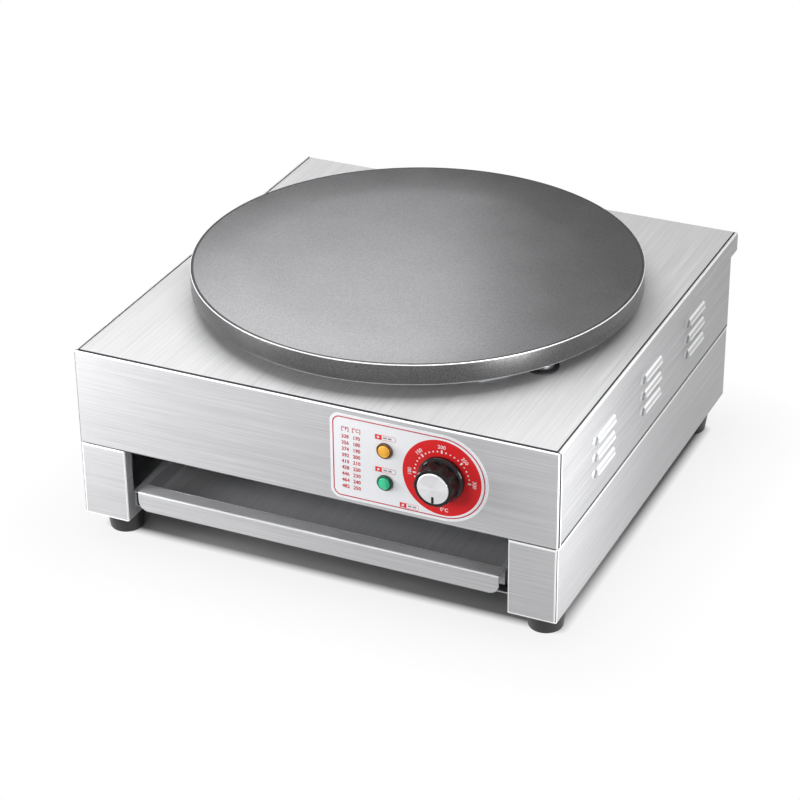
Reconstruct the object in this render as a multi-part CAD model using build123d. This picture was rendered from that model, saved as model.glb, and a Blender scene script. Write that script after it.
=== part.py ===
from build123d import *

import os
from math import cos, radians, sin, sqrt

# Electric crepe maker: a cast griddle plate on three legs over a louvred sheet housing, a folded base
# on four rubber feet, and a utensil tray that slides out of the base.
# Millimetres. +Z is up, the controls face -Y, and the origin is on the worktop under the middle of the
# whole appliance. Every piece is drawn with the front panel at Y = 0 and moved there when it is written.

# Body
BODY_WIDTH = 444.0
BODY_DEPTH = 431.5
FOOT_HEIGHT = 26.0
BASE_HEIGHT = 70.5
HOUSING_HEIGHT = 89.5
OVERHANG_DEPTH = 18.0
OVERHANG_DROP = 18.0

# Folded sheet
SHEET = 1.2
FOLD_RADIUS = 1.8
SEAM_BEVEL = 0.6
FOLD_LAND = 0.5
SEAM = 0.5
RETURN = 12.0
FIT_GAP = 0.3

# Base sides
POST_WIDTH = 43.5
POST_RETURN = 11.5
WEB_HEIGHT = 24.5
WEB_HEM = 4.5

# Feet
FOOT_RADIUS = 16.0
FOOT_INSET = 33.0
FOOT_BOLT_WIDTH = 6.0
FOOT_NUT_FLATS = 10.0
FOOT_NUT_HEIGHT = 5.0

# Tray
TRAY_FRONT = 18.0
TRAY_SIDE_GAP = 4.0
TRAY_REAR_GAP = 29.5
TRAY_LIFT = 10.0
TRAY_WALL = 20.0
TRAY_SHEET = 1.0
TRAY_MARGIN = 14.0
TRAY_MARGIN_RISE = 4.0
TRAY_HEM = 3.5
LIP_FRONT = 3.6
LIP_DROP = 17.8
LIP_CORNER = 9.0
LIP_BEND = 2.0
LIP_PROUD = 0.4
RUNNER_WIDTH = 28.5
RUNNER_WALL = 12.0
RUNNER_START = 14.0

# Louvres
LOUVRE_LENGTH = 54.0
LOUVRE_HEIGHT = 8.5
LOUVRE_PROUD = 3.5
LOUVRE_SHEET = 0.8
LOUVRE_MOUTH_REACH = 3.0
LOUVRE_GROUPS = 3
LOUVRE_GROUP_PITCH = 114.5
LOUVRE_ROWS = 3
LOUVRE_ROW_PITCH = 15.5
LOUVRE_LOWEST = 27.0

# Griddle plate, its legs and the heating below it
PLATE_DIAMETER = 400.0
PLATE_THICKNESS = 19.0
PLATE_GAP = 12.5
PLATE_FROM_FRONT = 220.5
PLATE_TOP_CHAMFER = 1.2
PLATE_LOWER_CHAMFER = 0.9
LEG_INSET = 22.0
LEG_RADIUS = 11.0
LEG_TANG_WIDTH = 7.0
LEG_NUT_FLATS = 13.0
LEG_NUT_HEIGHT = 6.5
WASHER_RADIUS = 17.0
WASHER_THICKNESS = 1.5
INNER_RING_RADIUS = 70.0
OUTER_RING_RADIUS = 112.0
ELEMENT_WIDTH = 8.0
ELEMENT_HEIGHT = 6.0
ELEMENT_TAIL = 56.0
RING_GAP_ANGLE = 24.0
TERMINAL_WIDTH = 6.3
TERMINAL_THICKNESS = 0.8
TERMINAL_LENGTH = 12.0
CLAMP_REACH = 122.0
CLAMP_WIDTH = 20.0
CLAMP_THICKNESS = 3.0
CLAMP_BOLT_RADIUS = 4.0
CLAMP_BOLT_ENTRY = 10.0
PAN_WASHER_GAP = 2.15
PAN_FLANGE = 10.0
PAN_DEPTH = 36.0
PAN_PASSAGE_MARGIN = 6.0
PAD_THICKNESS = 20.0
BULB_RADIUS = 3.0
BULB_LENGTH = 70.0
BULB_ANGLE = -30.0
CLIP_SHEET = 1.0
CLIP_EAR = 5.0
CLIP_WIDTH = 10.0

# Control panel
LABEL_LENGTH = 141.4
LABEL_FROM_SIDE = 60.6
LABEL_BOTTOM = 4.2
LABEL_TOP = 84.5
LABEL_CORNER = 8.5
LABEL_THICKNESS = 0.4
LAMP_FROM_LABEL_LEFT = 49.7
AMBER_UP = 58.3
GREEN_UP = 28.1
LAMP_RADIUS = 7.2
LAMP_RIM_HEIGHT = 2.0
LENS_RADIUS = 5.4
LENS_TOP_RADIUS = 3.6
LENS_HEIGHT = 4.0
LAMP_BODY_WIDTH = 9.0
LAMP_BODY_LENGTH = 24.0
HOLE_CLEARANCE = 0.3

# Knob and thermostat
KNOB_FROM_LABEL_LEFT = 100.5
KNOB_UP = 44.2
KNOB_GAP = 1.6
KNOB_LENGTH = 17.1
KNOB_SKIRT_RADIUS = 20.3
KNOB_SKIRT_HEIGHT = 3.4
KNOB_SHOULDER = 1.4
KNOB_NECK_RADIUS = 18.4
KNOB_RIM_RADIUS = 17.1
KNOB_RECESS_RADIUS = 9.5
KNOB_RECESS_DEPTH = 3.0
KNOB_BORE_DEPTH = 14.0
FLUTE_COUNT = 10
FLUTE_RADIUS = 6.0
FLUTE_DEPTH = 1.4
CAP_RADIUS = 13.8
CAP_PROUD = 1.0
POINTER_WIDTH = 1.6
POINTER_LENGTH = 5.5
POINTER_DEPTH = 0.3
SHAFT_RADIUS = 3.0
SHAFT_CLEARANCE = 0.05
SHAFT_INSIDE = 18.0
BUSH_RADIUS = 4.9
BUSH_PROUD = 3.0
THERMOSTAT_SIZE = 38.0
THERMOSTAT_DEPTH = 30.0
THERMOSTAT_NUT_FLATS = 14.0
THERMOSTAT_NUT_HEIGHT = 2.5
THREAD_CLEARANCE = 0.15

# Contactor and terminal block
CONTACTOR_FROM_SIDE = 30.0
CONTACTOR_WIDTH = 45.0
CONTACTOR_FRONT = 22.0
CONTACTOR_LENGTH = 62.0
CONTACTOR_SHELF = 30.0
CONTACTOR_HEIGHT = 60.0
CONTACTOR_STEP = 12.0
BLOCK_FROM_SIDE = 36.0
BLOCK_WIDTH = 56.0
BLOCK_FROM_REAR = 37.5
BLOCK_DEPTH = 22.0
BLOCK_HEIGHT = 14.0

# Rear panel fittings
GLAND_FROM_SIDE = 72.0
GLAND_UP = 26.0
GLAND_BORE_RADIUS = 5.25
GLAND_BARREL_RADIUS = 8.0
GLAND_BARREL_LENGTH = 12.0
GLAND_FLATS = 22.0
GLAND_HEX_LENGTH = 5.0
GLAND_NOSE_RADIUS = 10.5
GLAND_NOSE_BEVEL = 1.0
GLAND_LOCKNUT_HEIGHT = 4.0
GLAND_REACH = 21.0

# Levels and planes worked out from the sizes above
half_width = BODY_WIDTH / 2
base_z = FOOT_HEIGHT
seam_z = base_z + BASE_HEIGHT
deck_z = seam_z + HOUSING_HEIGHT
plate_z = deck_z + PLATE_GAP
rear_y = BODY_DEPTH
overhang_y = BODY_DEPTH + OVERHANG_DEPTH
overhang_z = deck_z - OVERHANG_DROP
web_x = half_width - POST_WIDTH
fold_width = FOLD_RADIUS + FOLD_LAND
panel_start = fold_width + SEAM
floor_z = seam_z + SHEET
floor_top_z = floor_z + SHEET
tray_z = base_z + TRAY_LIFT
tray_top_z = tray_z + TRAY_WALL
tray_half_width = web_x - WEB_HEM - TRAY_SIDE_GAP - TRAY_SHEET
tray_end = rear_y - TRAY_REAR_GAP
label_right = half_width - LABEL_FROM_SIDE
label_left = label_right - LABEL_LENGTH
lamp_x = label_left + LAMP_FROM_LABEL_LEFT
knob_x = label_left + KNOB_FROM_LABEL_LEFT
knob_z = seam_z + KNOB_UP
front_reach = KNOB_GAP + KNOB_LENGTH + CAP_PROUD
rear_reach = max(OVERHANG_DEPTH, GLAND_REACH)
front_y = (front_reach - BODY_DEPTH - rear_reach) / 2

plate_axis = Pos(0, PLATE_FROM_FRONT, 0)
leg_angles = [-30, 90, 210]
leg_circle = PLATE_DIAMETER / 2 - LEG_INSET
leg_points = [
    (leg_circle * cos(radians(a)), PLATE_FROM_FRONT + leg_circle * sin(radians(a)))
    for a in leg_angles
]
pan_flange_reach = leg_points[0][0] - WASHER_RADIUS - PAN_WASHER_GAP
pan_half_width = pan_flange_reach - PAN_FLANGE
foot_x = half_width - POST_WIDTH / 2
foot_points = {
    "front_left": (-foot_x, FOOT_INSET),
    "front_right": (foot_x, FOOT_INSET),
    "rear_left": (-foot_x, rear_y - FOOT_INSET),
    "rear_right": (foot_x, rear_y - FOOT_INSET),
}

os.makedirs("parts", exist_ok=True)


def write(name, *solids):
    """Moves finished solids to the appliance's own frame and writes them as one node."""
    moved = [Pos(0, front_y, 0) * solid for solid in solids]
    export_step(moved[0] if len(moved) == 1 else Compound(moved), f"parts/{name}.step")


def block(x, y, z):
    """Box between the low and high value of each axis."""
    size = [high - low for low, high in (x, y, z)]
    middle = [(low + high) / 2 for low, high in (x, y, z)]
    return Pos(*middle) * Box(*size)


def sheet(points, thickness=SHEET, bend=FOLD_RADIUS, side=Side.LEFT):
    """Cross-section of a folded sheet whose outer face follows the points; a bend of 0 is sharp."""
    outer = FilletPolyline(*points, radius=bend) if bend else Polyline(*points)
    return make_face(offset(outer, thickness, kind=Kind.INTERSECTION, side=side, closed=True))


def along_y(section, start, end):
    """Extrudes a section drawn as (x, z) from one depth to another."""
    return Pos(0, end, 0) * extrude(Plane.XZ * section, amount=end - start)


def along_x(section, reach):
    """Extrudes a section drawn as (y, z) evenly to both sides of the middle."""
    return extrude(Plane.YZ * section, amount=reach, both=True)


def rod(radius, x, y, z, bore=0.0):
    """Upright cylinder at (x, y) between two heights, with an optional bore."""
    height = z[1] - z[0]
    solid = Cylinder(radius, height)
    if bore:
        solid -= Cylinder(bore, height)
    return Pos(x, y, (z[0] + z[1]) / 2) * solid


def square_pin(width, place, z):
    """Upright square pin at a place on the plan, between two heights."""
    return Pos(place[0], place[1], (z[0] + z[1]) / 2) * Box(width, width, z[1] - z[0])


def rod_y(radius, x, y, z, bore=0.0):
    """Cylinder whose axis runs front to back, between two depths."""
    return Pos(x, y[1], z) * Rot(90, 0, 0) * rod(radius, 0, 0, (0, y[1] - y[0]), bore)


def hexagon(flats, height, bore=0.0):
    """Hexagon head standing on its own origin, or a nut where it has a bore."""
    outline = RegularPolygon(flats / sqrt(3), 6)
    if bore:
        outline -= Circle(bore)
    return extrude(outline, amount=height)


def mirrored(solid):
    """The same piece for the left side."""
    return mirror(solid, about=Plane.YZ)


# Base side: outer wall, front post and rear return folded upright, with a bottom flange for the feet
# and an upturned web that carries the tray runner.
def base_side():
    upright = sheet(
        [
            (half_width - RETURN, rear_y),
            (half_width, rear_y),
            (half_width, 0),
            (web_x, 0),
            (web_x, POST_RETURN),
        ],
        side=Side.RIGHT,
    )
    wall = Pos(0, 0, base_z) * extrude(upright, amount=BASE_HEIGHT)
    inner_end = rear_y - SHEET - RETURN - 1
    inside = (SHEET, inner_end)
    side = wall + block((web_x, half_width - SHEET), inside, (base_z, base_z + SHEET))
    side += block((half_width - RETURN, half_width - SHEET), inside, (seam_z - SHEET, seam_z))
    web_y = (POST_RETURN + SEAM, inner_end)
    side += block((web_x, web_x + SHEET), web_y, (base_z, base_z + WEB_HEIGHT))
    side += block(
        (web_x - WEB_HEM, web_x), web_y, (base_z + WEB_HEIGHT - SHEET, base_z + WEB_HEIGHT)
    )
    for name in ("front_right", "rear_right"):
        bolt_hole = FOOT_BOLT_WIDTH + 2 * HOLE_CLEARANCE
        side -= square_pin(bolt_hole, foot_points[name], (base_z - 1, base_z + SHEET + 1))
    rim = side.edges().filter_by(Axis.Y).filter_by_position(Axis.X, half_width - 0.01, half_width + 0.01)
    return chamfer(rim.filter_by_position(Axis.Z, seam_z - 0.01, seam_z + 0.01), SEAM_BEVEL)


right_base = base_side()
write("base_right_side", right_base)
write("base_left_side", mirrored(right_base))

# Base rear panel: a channel between the two sides, behind their rear returns.
rear_skirt_y = rear_y - SHEET
rear_skirt = sheet(
    [
        (rear_skirt_y - RETURN, base_z),
        (rear_skirt_y, base_z),
        (rear_skirt_y, seam_z),
        (rear_skirt_y - RETURN, seam_z),
    ]
)
write("base_rear_panel", along_x(rear_skirt, half_width - FOLD_RADIUS - FIT_GAP))

# Tray runners: angle strips welded to the webs, turned up at the rear as a stop for the tray.
runner_top_z = tray_z - FIT_GAP
runner_inner = web_x - RUNNER_WIDTH
runner_end = tray_end + FIT_GAP


def tray_runner():
    angle = sheet(
        [
            (runner_inner, runner_top_z - SHEET),
            (web_x, runner_top_z - SHEET),
            (web_x, runner_top_z - SHEET + RUNNER_WALL),
        ]
    )
    stop = block(
        (runner_inner, web_x), (runner_end, runner_end + SHEET), (runner_top_z - SHEET, tray_z + RUNNER_WALL)
    )
    return along_y(angle, RUNNER_START, runner_end + SHEET) + stop


right_runner = tray_runner()
write("right_tray_runner", right_runner)
write("left_tray_runner", mirrored(right_runner))


# Rubber feet: round buffers with a square-necked bolt moulded in, held by a nut on the base flange.
for corner, place in foot_points.items():
    write(f"{corner}_foot", rod(FOOT_RADIUS, *place, (0, FOOT_HEIGHT)))

foot_nut_z = base_z + SHEET
foot_bolts = [
    square_pin(FOOT_BOLT_WIDTH, place, (FOOT_HEIGHT, foot_nut_z))
    + Pos(place[0], place[1], foot_nut_z) * hexagon(FOOT_NUT_FLATS, FOOT_NUT_HEIGHT)
    for place in foot_points.values()
]
write("foot_bolts", *foot_bolts)


# Tray: a pressed pan whose flat floor is bordered by a shallow slope, with a hooked front welded on.
def pan_form(inset, top_z):
    """Solid of the pan's outer form, or with an inset the space inside it."""
    floor_level = tray_z + inset
    knee_level = floor_level + TRAY_MARGIN_RISE
    low = (TRAY_FRONT + inset, tray_end - inset)
    middle_y = (low[0] + low[1]) / 2
    width = 2 * (tray_half_width - inset)
    length = low[1] - low[0]
    floor_shape = Pos(0, middle_y, floor_level) * Rectangle(width - 2 * TRAY_MARGIN, length - 2 * TRAY_MARGIN)
    knee_shape = Pos(0, middle_y, knee_level) * Rectangle(width, length)
    return loft([floor_shape, knee_shape]) + extrude(knee_shape, amount=top_z - knee_level)


hem_width = tray_half_width + TRAY_SHEET
hem = block(
    (-hem_width, hem_width),
    (TRAY_FRONT + LIP_BEND, tray_end),
    (tray_top_z - TRAY_HEM, tray_top_z),
)
tray_pan = pan_form(0, tray_top_z) + hem - pan_form(TRAY_SHEET, tray_top_z + 1)

lip_top_z = tray_top_z + LIP_PROUD
handle_profile = sheet(
    [
        (TRAY_FRONT, tray_z + TRAY_MARGIN_RISE + 1),
        (TRAY_FRONT, lip_top_z),
        (LIP_FRONT, lip_top_z),
        (LIP_FRONT, lip_top_z - LIP_DROP),
    ],
    thickness=TRAY_SHEET,
    bend=LIP_BEND,
)
handle = along_x(handle_profile, tray_half_width + LIP_PROUD)
lower_corners = handle.edges().filter_by(Axis.Y).filter_by_position(
    Axis.Z, lip_top_z - LIP_DROP - 0.01, lip_top_z - LIP_DROP + 0.01
)
handle = fillet(lower_corners, LIP_CORNER)

write("tray_pan", tray_pan)
write("tray_handle", handle)

# Front panel: a folded tray whose rounded edges wrap the corners, with returns set inside the panels
# beside it.
front_band = block((-half_width, half_width), (0, fold_width), (seam_z, deck_z))
face_edges = front_band.faces().sort_by(Axis.Y)[0].edges()
corner_edges = front_band.edges().filter_by(Axis.Y).filter_by_position(Axis.Z, deck_z - 1, deck_z + 1)
front_band = fillet(face_edges.sort_by(Axis.Z)[1:] + corner_edges, FOLD_RADIUS)
lower_edge = front_band.edges().filter_by(Axis.X).sort_by(lambda e: e.center().Z + e.center().Y)[0]
front_band = chamfer(lower_edge, SEAM_BEVEL)
inner_band = block(
    (SHEET - half_width, half_width - SHEET), (SHEET, RETURN), (seam_z, deck_z - SHEET)
)
inner_corners = inner_band.edges().filter_by(Axis.Y).filter_by_position(Axis.Z, deck_z - 2 * SHEET, deck_z)
inner_band = chamfer(inner_corners, FOLD_RADIUS - SHEET + FIT_GAP)
front_cavity = block(
    (2 * SHEET - half_width, half_width - 2 * SHEET),
    (SHEET, RETURN + 1),
    (seam_z + SHEET, deck_z - 2 * SHEET),
)
front_panel = front_band + inner_band - front_cavity
panel_skin = (-1, SHEET + 1)


def lamp_hole(y, up):
    """Square cut-out that a pilot lamp snaps into."""
    reach = LAMP_BODY_WIDTH / 2 + HOLE_CLEARANCE
    return block((lamp_x - reach, lamp_x + reach), y, (seam_z + up - reach, seam_z + up + reach))


front_panel -= rod_y(BUSH_RADIUS + HOLE_CLEARANCE, knob_x, panel_skin, knob_z)
for up in (AMBER_UP, GREEN_UP):
    front_panel -= lamp_hole(panel_skin, up)
write("front_panel", front_panel)


# Side panels: louvred sheets, folded over at the top and down the rear of the overhang.
louvre_bulge = (LOUVRE_PROUD**2 + LOUVRE_HEIGHT**2) / (2 * LOUVRE_PROUD)
louvre_straight = LOUVRE_LENGTH - 2 * LOUVRE_HEIGHT


def louvre(slit_z, middle_y):
    """One pressed hood with domed ends, open along its lower edge, and the hollow behind it."""
    skin = block(
        (half_width - SHEET, half_width + LOUVRE_PROUD),
        (middle_y - LOUVRE_LENGTH, middle_y + LOUVRE_LENGTH),
        (slit_z, slit_z + 2 * LOUVRE_HEIGHT),
    )
    lying = Pos(half_width + LOUVRE_PROUD - louvre_bulge, middle_y, slit_z) * Rot(90, 0, 0)
    hood = Cylinder(louvre_bulge, louvre_straight)
    for end in (-louvre_straight / 2, louvre_straight / 2):
        hood += Pos(0, 0, end) * Sphere(louvre_bulge)
    hollow = Cylinder(louvre_bulge - LOUVRE_SHEET, louvre_straight + 2 * LOUVRE_MOUTH_REACH)
    return lying * hood & skin, lying * hollow & skin


def side_panel():
    fold = sheet(
        [(half_width, seam_z), (half_width, deck_z), (half_width - fold_width, deck_z)]
    )
    panel = along_y(fold, panel_start, overhang_y)
    panel -= block(
        (half_width - RETURN, half_width + 1), (rear_y, overhang_y + 1), (seam_z - 1, overhang_z)
    )
    inner_end = rear_y - RETURN - 1
    panel += block(
        (half_width - RETURN, half_width - SHEET),
        (RETURN + 1, overhang_y - FOLD_RADIUS - FIT_GAP),
        (deck_z - 2 * SHEET, deck_z - SHEET),
    )
    panel += block(
        (half_width - RETURN, half_width), (RETURN + 1, inner_end), (seam_z, seam_z + SHEET)
    )
    panel += block(
        (half_width - fold_width, half_width - SHEET),
        (overhang_y - SHEET, overhang_y),
        (overhang_z, deck_z - SHEET),
    )
    seam_edges = panel.edges().filter_by(Axis.Y).filter_by_position(Axis.Z, seam_z - 0.01, seam_z + 0.01)
    outer_seam = seam_edges.filter_by_position(Axis.X, half_width - 0.01, half_width + 0.01)
    panel = chamfer(outer_seam, SEAM_BEVEL)
    for group in range(LOUVRE_GROUPS):
        middle_y = BODY_DEPTH / 2 + (group - (LOUVRE_GROUPS - 1) / 2) * LOUVRE_GROUP_PITCH
        for row in range(LOUVRE_ROWS):
            slit_z = seam_z + LOUVRE_LOWEST + row * LOUVRE_ROW_PITCH
            outer, inner = louvre(slit_z, middle_y)
            panel = panel + outer - inner
    return panel


right_panel = side_panel()
write("right_side_panel", right_panel)
write("left_side_panel", mirrored(right_panel))

# Top panel: set between the folded edges, with the rear drop that shields the cable entry.
deck_reach = half_width - fold_width - SEAM
deck_profile = sheet(
    [
        (panel_start, deck_z),
        (overhang_y, deck_z),
        (overhang_y, overhang_z),
        (rear_y - RETURN + SHEET, overhang_z),
    ],
    side=Side.RIGHT,
)
top_panel = along_x(deck_profile, deck_reach)
deck_skin = (deck_z - 2 * SHEET, deck_z + 1)
top_panel -= square_pin(2 * (pan_half_width + FIT_GAP), (0, PLATE_FROM_FRONT), deck_skin)
for place in leg_points:
    top_panel -= square_pin(LEG_TANG_WIDTH + 2 * HOLE_CLEARANCE, place, deck_skin)
write("top_panel", top_panel)

# Rear panel: a channel under the overhang, with the hole for the cable gland.
rear_profile = sheet(
    [
        (rear_y - RETURN, seam_z),
        (rear_y, seam_z),
        (rear_y, overhang_z),
        (rear_y - RETURN, overhang_z),
    ]
)
rear_panel = along_x(rear_profile, half_width - SHEET - FIT_GAP)
gland_x = GLAND_FROM_SIDE - half_width
gland_z = seam_z + GLAND_UP
rear_skin = (rear_y - SHEET - 1, rear_y + 1)
rear_panel -= rod_y(GLAND_BARREL_RADIUS + HOLE_CLEARANCE, gland_x, rear_skin, gland_z)
write("rear_panel", rear_panel)

# Housing floor: a flat sheet welded on the side panels' bottom returns.
floor_reach = half_width - 2 * SHEET - FIT_GAP
housing_floor = block(
    (-floor_reach, floor_reach),
    (SHEET + FIT_GAP, rear_y - FOLD_RADIUS - FIT_GAP),
    (floor_z, floor_top_z),
)
write("housing_floor", housing_floor)


# Griddle plate: cast iron, turned on top and at the rim, tapped below for the clamp bolt.
def griddle_plate():
    edge = PLATE_DIAMETER / 2
    top = plate_z + PLATE_THICKNESS
    outline = Polyline(
        (0, plate_z),
        (edge - PLATE_LOWER_CHAMFER, plate_z),
        (edge, plate_z + PLATE_LOWER_CHAMFER),
        (edge, top - PLATE_TOP_CHAMFER),
        (edge - PLATE_TOP_CHAMFER, top),
        (0, top),
        close=True,
    )
    plate = plate_axis * revolve(Plane.XZ * make_face(outline), axis=Axis.Z)
    tapping = (plate_z - 1, plate_z + CLAMP_BOLT_ENTRY + FIT_GAP)
    return plate - rod(CLAMP_BOLT_RADIUS + THREAD_CLEARANCE, 0, PLATE_FROM_FRONT, tapping)


write("griddle_plate", griddle_plate())

# Legs: turned spacers on heat-insulating washers, each keyed through the deck to a cap nut by a square tang.
washer_top = deck_z + WASHER_THICKNESS
deck_under = deck_z - SHEET
legs = [
    rod(LEG_RADIUS, *place, (washer_top, plate_z))
    + square_pin(LEG_TANG_WIDTH, place, (deck_under, washer_top))
    for place in leg_points
]
leg_washers = [
    rod(WASHER_RADIUS, *place, (deck_z, washer_top))
    - square_pin(LEG_TANG_WIDTH + 2 * HOLE_CLEARANCE, place, (deck_z, washer_top))
    for place in leg_points
]
leg_nuts = [
    Pos(x, y, deck_under - LEG_NUT_HEIGHT) * hexagon(LEG_NUT_FLATS, LEG_NUT_HEIGHT) for x, y in leg_points
]
write("plate_legs", *legs)
write("leg_washers", *leg_washers)
write("leg_nuts", *leg_nuts)

# Heating elements: flattened sheathed tubes formed into open rings against the plate's underside, with
# both ends turned down to blade terminals.
element_z = plate_z - ELEMENT_HEIGHT
tail_z = plate_z - ELEMENT_TAIL


def element(ring_radius):
    ring = Circle(ring_radius + ELEMENT_WIDTH / 2) - Circle(ring_radius - ELEMENT_WIDTH / 2)
    reach = ring_radius + ELEMENT_WIDTH
    spread = reach * sin(radians(RING_GAP_ANGLE)) / cos(radians(RING_GAP_ANGLE))
    ring -= make_face(Polyline((0, 0), (spread, reach), (-spread, reach), close=True))
    solid = Pos(0, PLATE_FROM_FRONT, element_z) * extrude(ring, amount=ELEMENT_HEIGHT)
    for tail in ring_tails(ring_radius):
        post = Pos(0, 0, (tail_z + plate_z) / 2) * Box(ELEMENT_WIDTH, ELEMENT_WIDTH, ELEMENT_TAIL)
        solid += tail * post
    return solid


def ring_tails(ring_radius):
    """Where each end of a ring turns down."""
    inset = ELEMENT_WIDTH / 2
    return [
        plate_axis * Rot(0, 0, side * RING_GAP_ANGLE) * Pos(-side * inset, ring_radius, 0) for side in (-1, 1)
    ]


ring_radii = (INNER_RING_RADIUS, OUTER_RING_RADIUS)
write("inner_element", element(INNER_RING_RADIUS))
write("outer_element", element(OUTER_RING_RADIUS))
blade = Pos(0, 0, tail_z - TERMINAL_LENGTH / 2) * Box(TERMINAL_WIDTH, TERMINAL_THICKNESS, TERMINAL_LENGTH)
write("element_terminals", *[tail * blade for radius in ring_radii for tail in ring_tails(radius)])

# Clamp: three arms pulled up against the elements by one bolt in the middle of the plate.
clamp_z = (element_z - CLAMP_THICKNESS, element_z)
clamp_shape = Sketch()
for angle in (30, 150, 270):
    clamp_shape += Rot(0, 0, angle) * Pos(CLAMP_REACH / 2, 0) * Rectangle(CLAMP_REACH, CLAMP_WIDTH)
clamp_shape -= Circle(CLAMP_BOLT_RADIUS + HOLE_CLEARANCE)
clamp = Pos(0, PLATE_FROM_FRONT, clamp_z[0]) * extrude(clamp_shape, amount=CLAMP_THICKNESS)
write("element_clamp", clamp)
bolt_head = Pos(0, PLATE_FROM_FRONT, clamp_z[0] - LEG_NUT_HEIGHT) * hexagon(LEG_NUT_FLATS, LEG_NUT_HEIGHT)
bolt_shank = rod(CLAMP_BOLT_RADIUS, 0, PLATE_FROM_FRONT, (clamp_z[0], plate_z + CLAMP_BOLT_ENTRY))
write("clamp_bolt", bolt_head + bolt_shank)

# Heat shield: a folded square pan hung in the deck by its flange, holding a fibre insulation pad, with
# one passage for the elements' tails.
pan_floor_z = deck_z - PAN_DEPTH
pad_top_z = pan_floor_z + SHEET + PAD_THICKNESS


def pan_square(half_size, z):
    return square_pin(2 * half_size, (0, PLATE_FROM_FRONT), z)


passage_x = (OUTER_RING_RADIUS + ELEMENT_WIDTH) * sin(radians(RING_GAP_ANGLE)) + PAN_PASSAGE_MARGIN
passage_start = INNER_RING_RADIUS * cos(radians(RING_GAP_ANGLE)) - ELEMENT_WIDTH - PAN_PASSAGE_MARGIN
passage_end = OUTER_RING_RADIUS * cos(radians(RING_GAP_ANGLE)) + ELEMENT_WIDTH
passage = block(
    (-passage_x, passage_x),
    (PLATE_FROM_FRONT + passage_start, PLATE_FROM_FRONT + passage_end),
    (pan_floor_z - 1, pad_top_z + 1),
)
shield_pan = pan_square(pan_half_width, (pan_floor_z, deck_z + SHEET))
shield_pan += pan_square(pan_flange_reach, (deck_z, deck_z + SHEET))
shield_pan -= pan_square(pan_half_width - SHEET, (pan_floor_z + SHEET, deck_z + 2 * SHEET))
write("heat_shield_pan", shield_pan - passage)
pad = pan_square(pan_half_width - SHEET - FIT_GAP, (pan_floor_z + SHEET, pad_top_z))
write("insulation_pad", pad - passage)

# Sensor bulb, held under the plate between the elements by a spring clip.
bulb_direction = Vector(-sin(radians(BULB_ANGLE)), cos(radians(BULB_ANGLE)), 0)
bulb_circle = (INNER_RING_RADIUS + OUTER_RING_RADIUS) / 2
bulb_x = bulb_circle * cos(radians(BULB_ANGLE))
bulb_y = PLATE_FROM_FRONT + bulb_circle * sin(radians(BULB_ANGLE))
bulb_z = plate_z - BULB_RADIUS - FIT_GAP
bulb_axis = Plane(origin=(bulb_x, bulb_y, bulb_z), z_dir=bulb_direction)
write("sensor_bulb", bulb_axis * Cylinder(BULB_RADIUS, BULB_LENGTH))
clip_reach = BULB_RADIUS + FIT_GAP + CLIP_SHEET
clip_profile = sheet(
    [
        (-clip_reach - CLIP_EAR, plate_z - CLIP_SHEET),
        (-clip_reach, plate_z - CLIP_SHEET),
        (-clip_reach, bulb_z - clip_reach),
        (clip_reach, bulb_z - clip_reach),
        (clip_reach, plate_z - CLIP_SHEET),
        (clip_reach + CLIP_EAR, plate_z - CLIP_SHEET),
    ],
    thickness=CLIP_SHEET,
    bend=0,
)
clip = extrude(Plane.XZ * clip_profile, amount=CLIP_WIDTH / 2, both=True)
write("bulb_clip", Pos(bulb_x, bulb_y, 0) * Rot(0, 0, BULB_ANGLE) * clip)


# Thermostat: a boxed switch held behind the panel by the nut on its bush, which guides the knob's shaft.
thermostat = block(
    (knob_x - THERMOSTAT_SIZE / 2, knob_x + THERMOSTAT_SIZE / 2),
    (SHEET, SHEET + THERMOSTAT_DEPTH),
    (knob_z - THERMOSTAT_SIZE / 2, knob_z + THERMOSTAT_SIZE / 2),
)
thermostat += rod_y(BUSH_RADIUS, knob_x, (-BUSH_PROUD, SHEET), knob_z)
thermostat -= rod_y(SHAFT_RADIUS + SHAFT_CLEARANCE, knob_x, (-BUSH_PROUD, SHAFT_INSIDE + 1), knob_z)
write("thermostat", thermostat)
bush_nut = hexagon(THERMOSTAT_NUT_FLATS, THERMOSTAT_NUT_HEIGHT, BUSH_RADIUS + THREAD_CLEARANCE)
write("thermostat_nut", Pos(knob_x, -LABEL_THICKNESS, knob_z) * Rot(90, 0, 0) * bush_nut)

# Knob: fluted moulding with a skirt, on a shaft with a flat, capped by a metal disc with the pointer.
knob_place = Plane(origin=(knob_x, -KNOB_GAP, knob_z), x_dir=(1, 0, 0), z_dir=(0, -1, 0))


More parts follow.
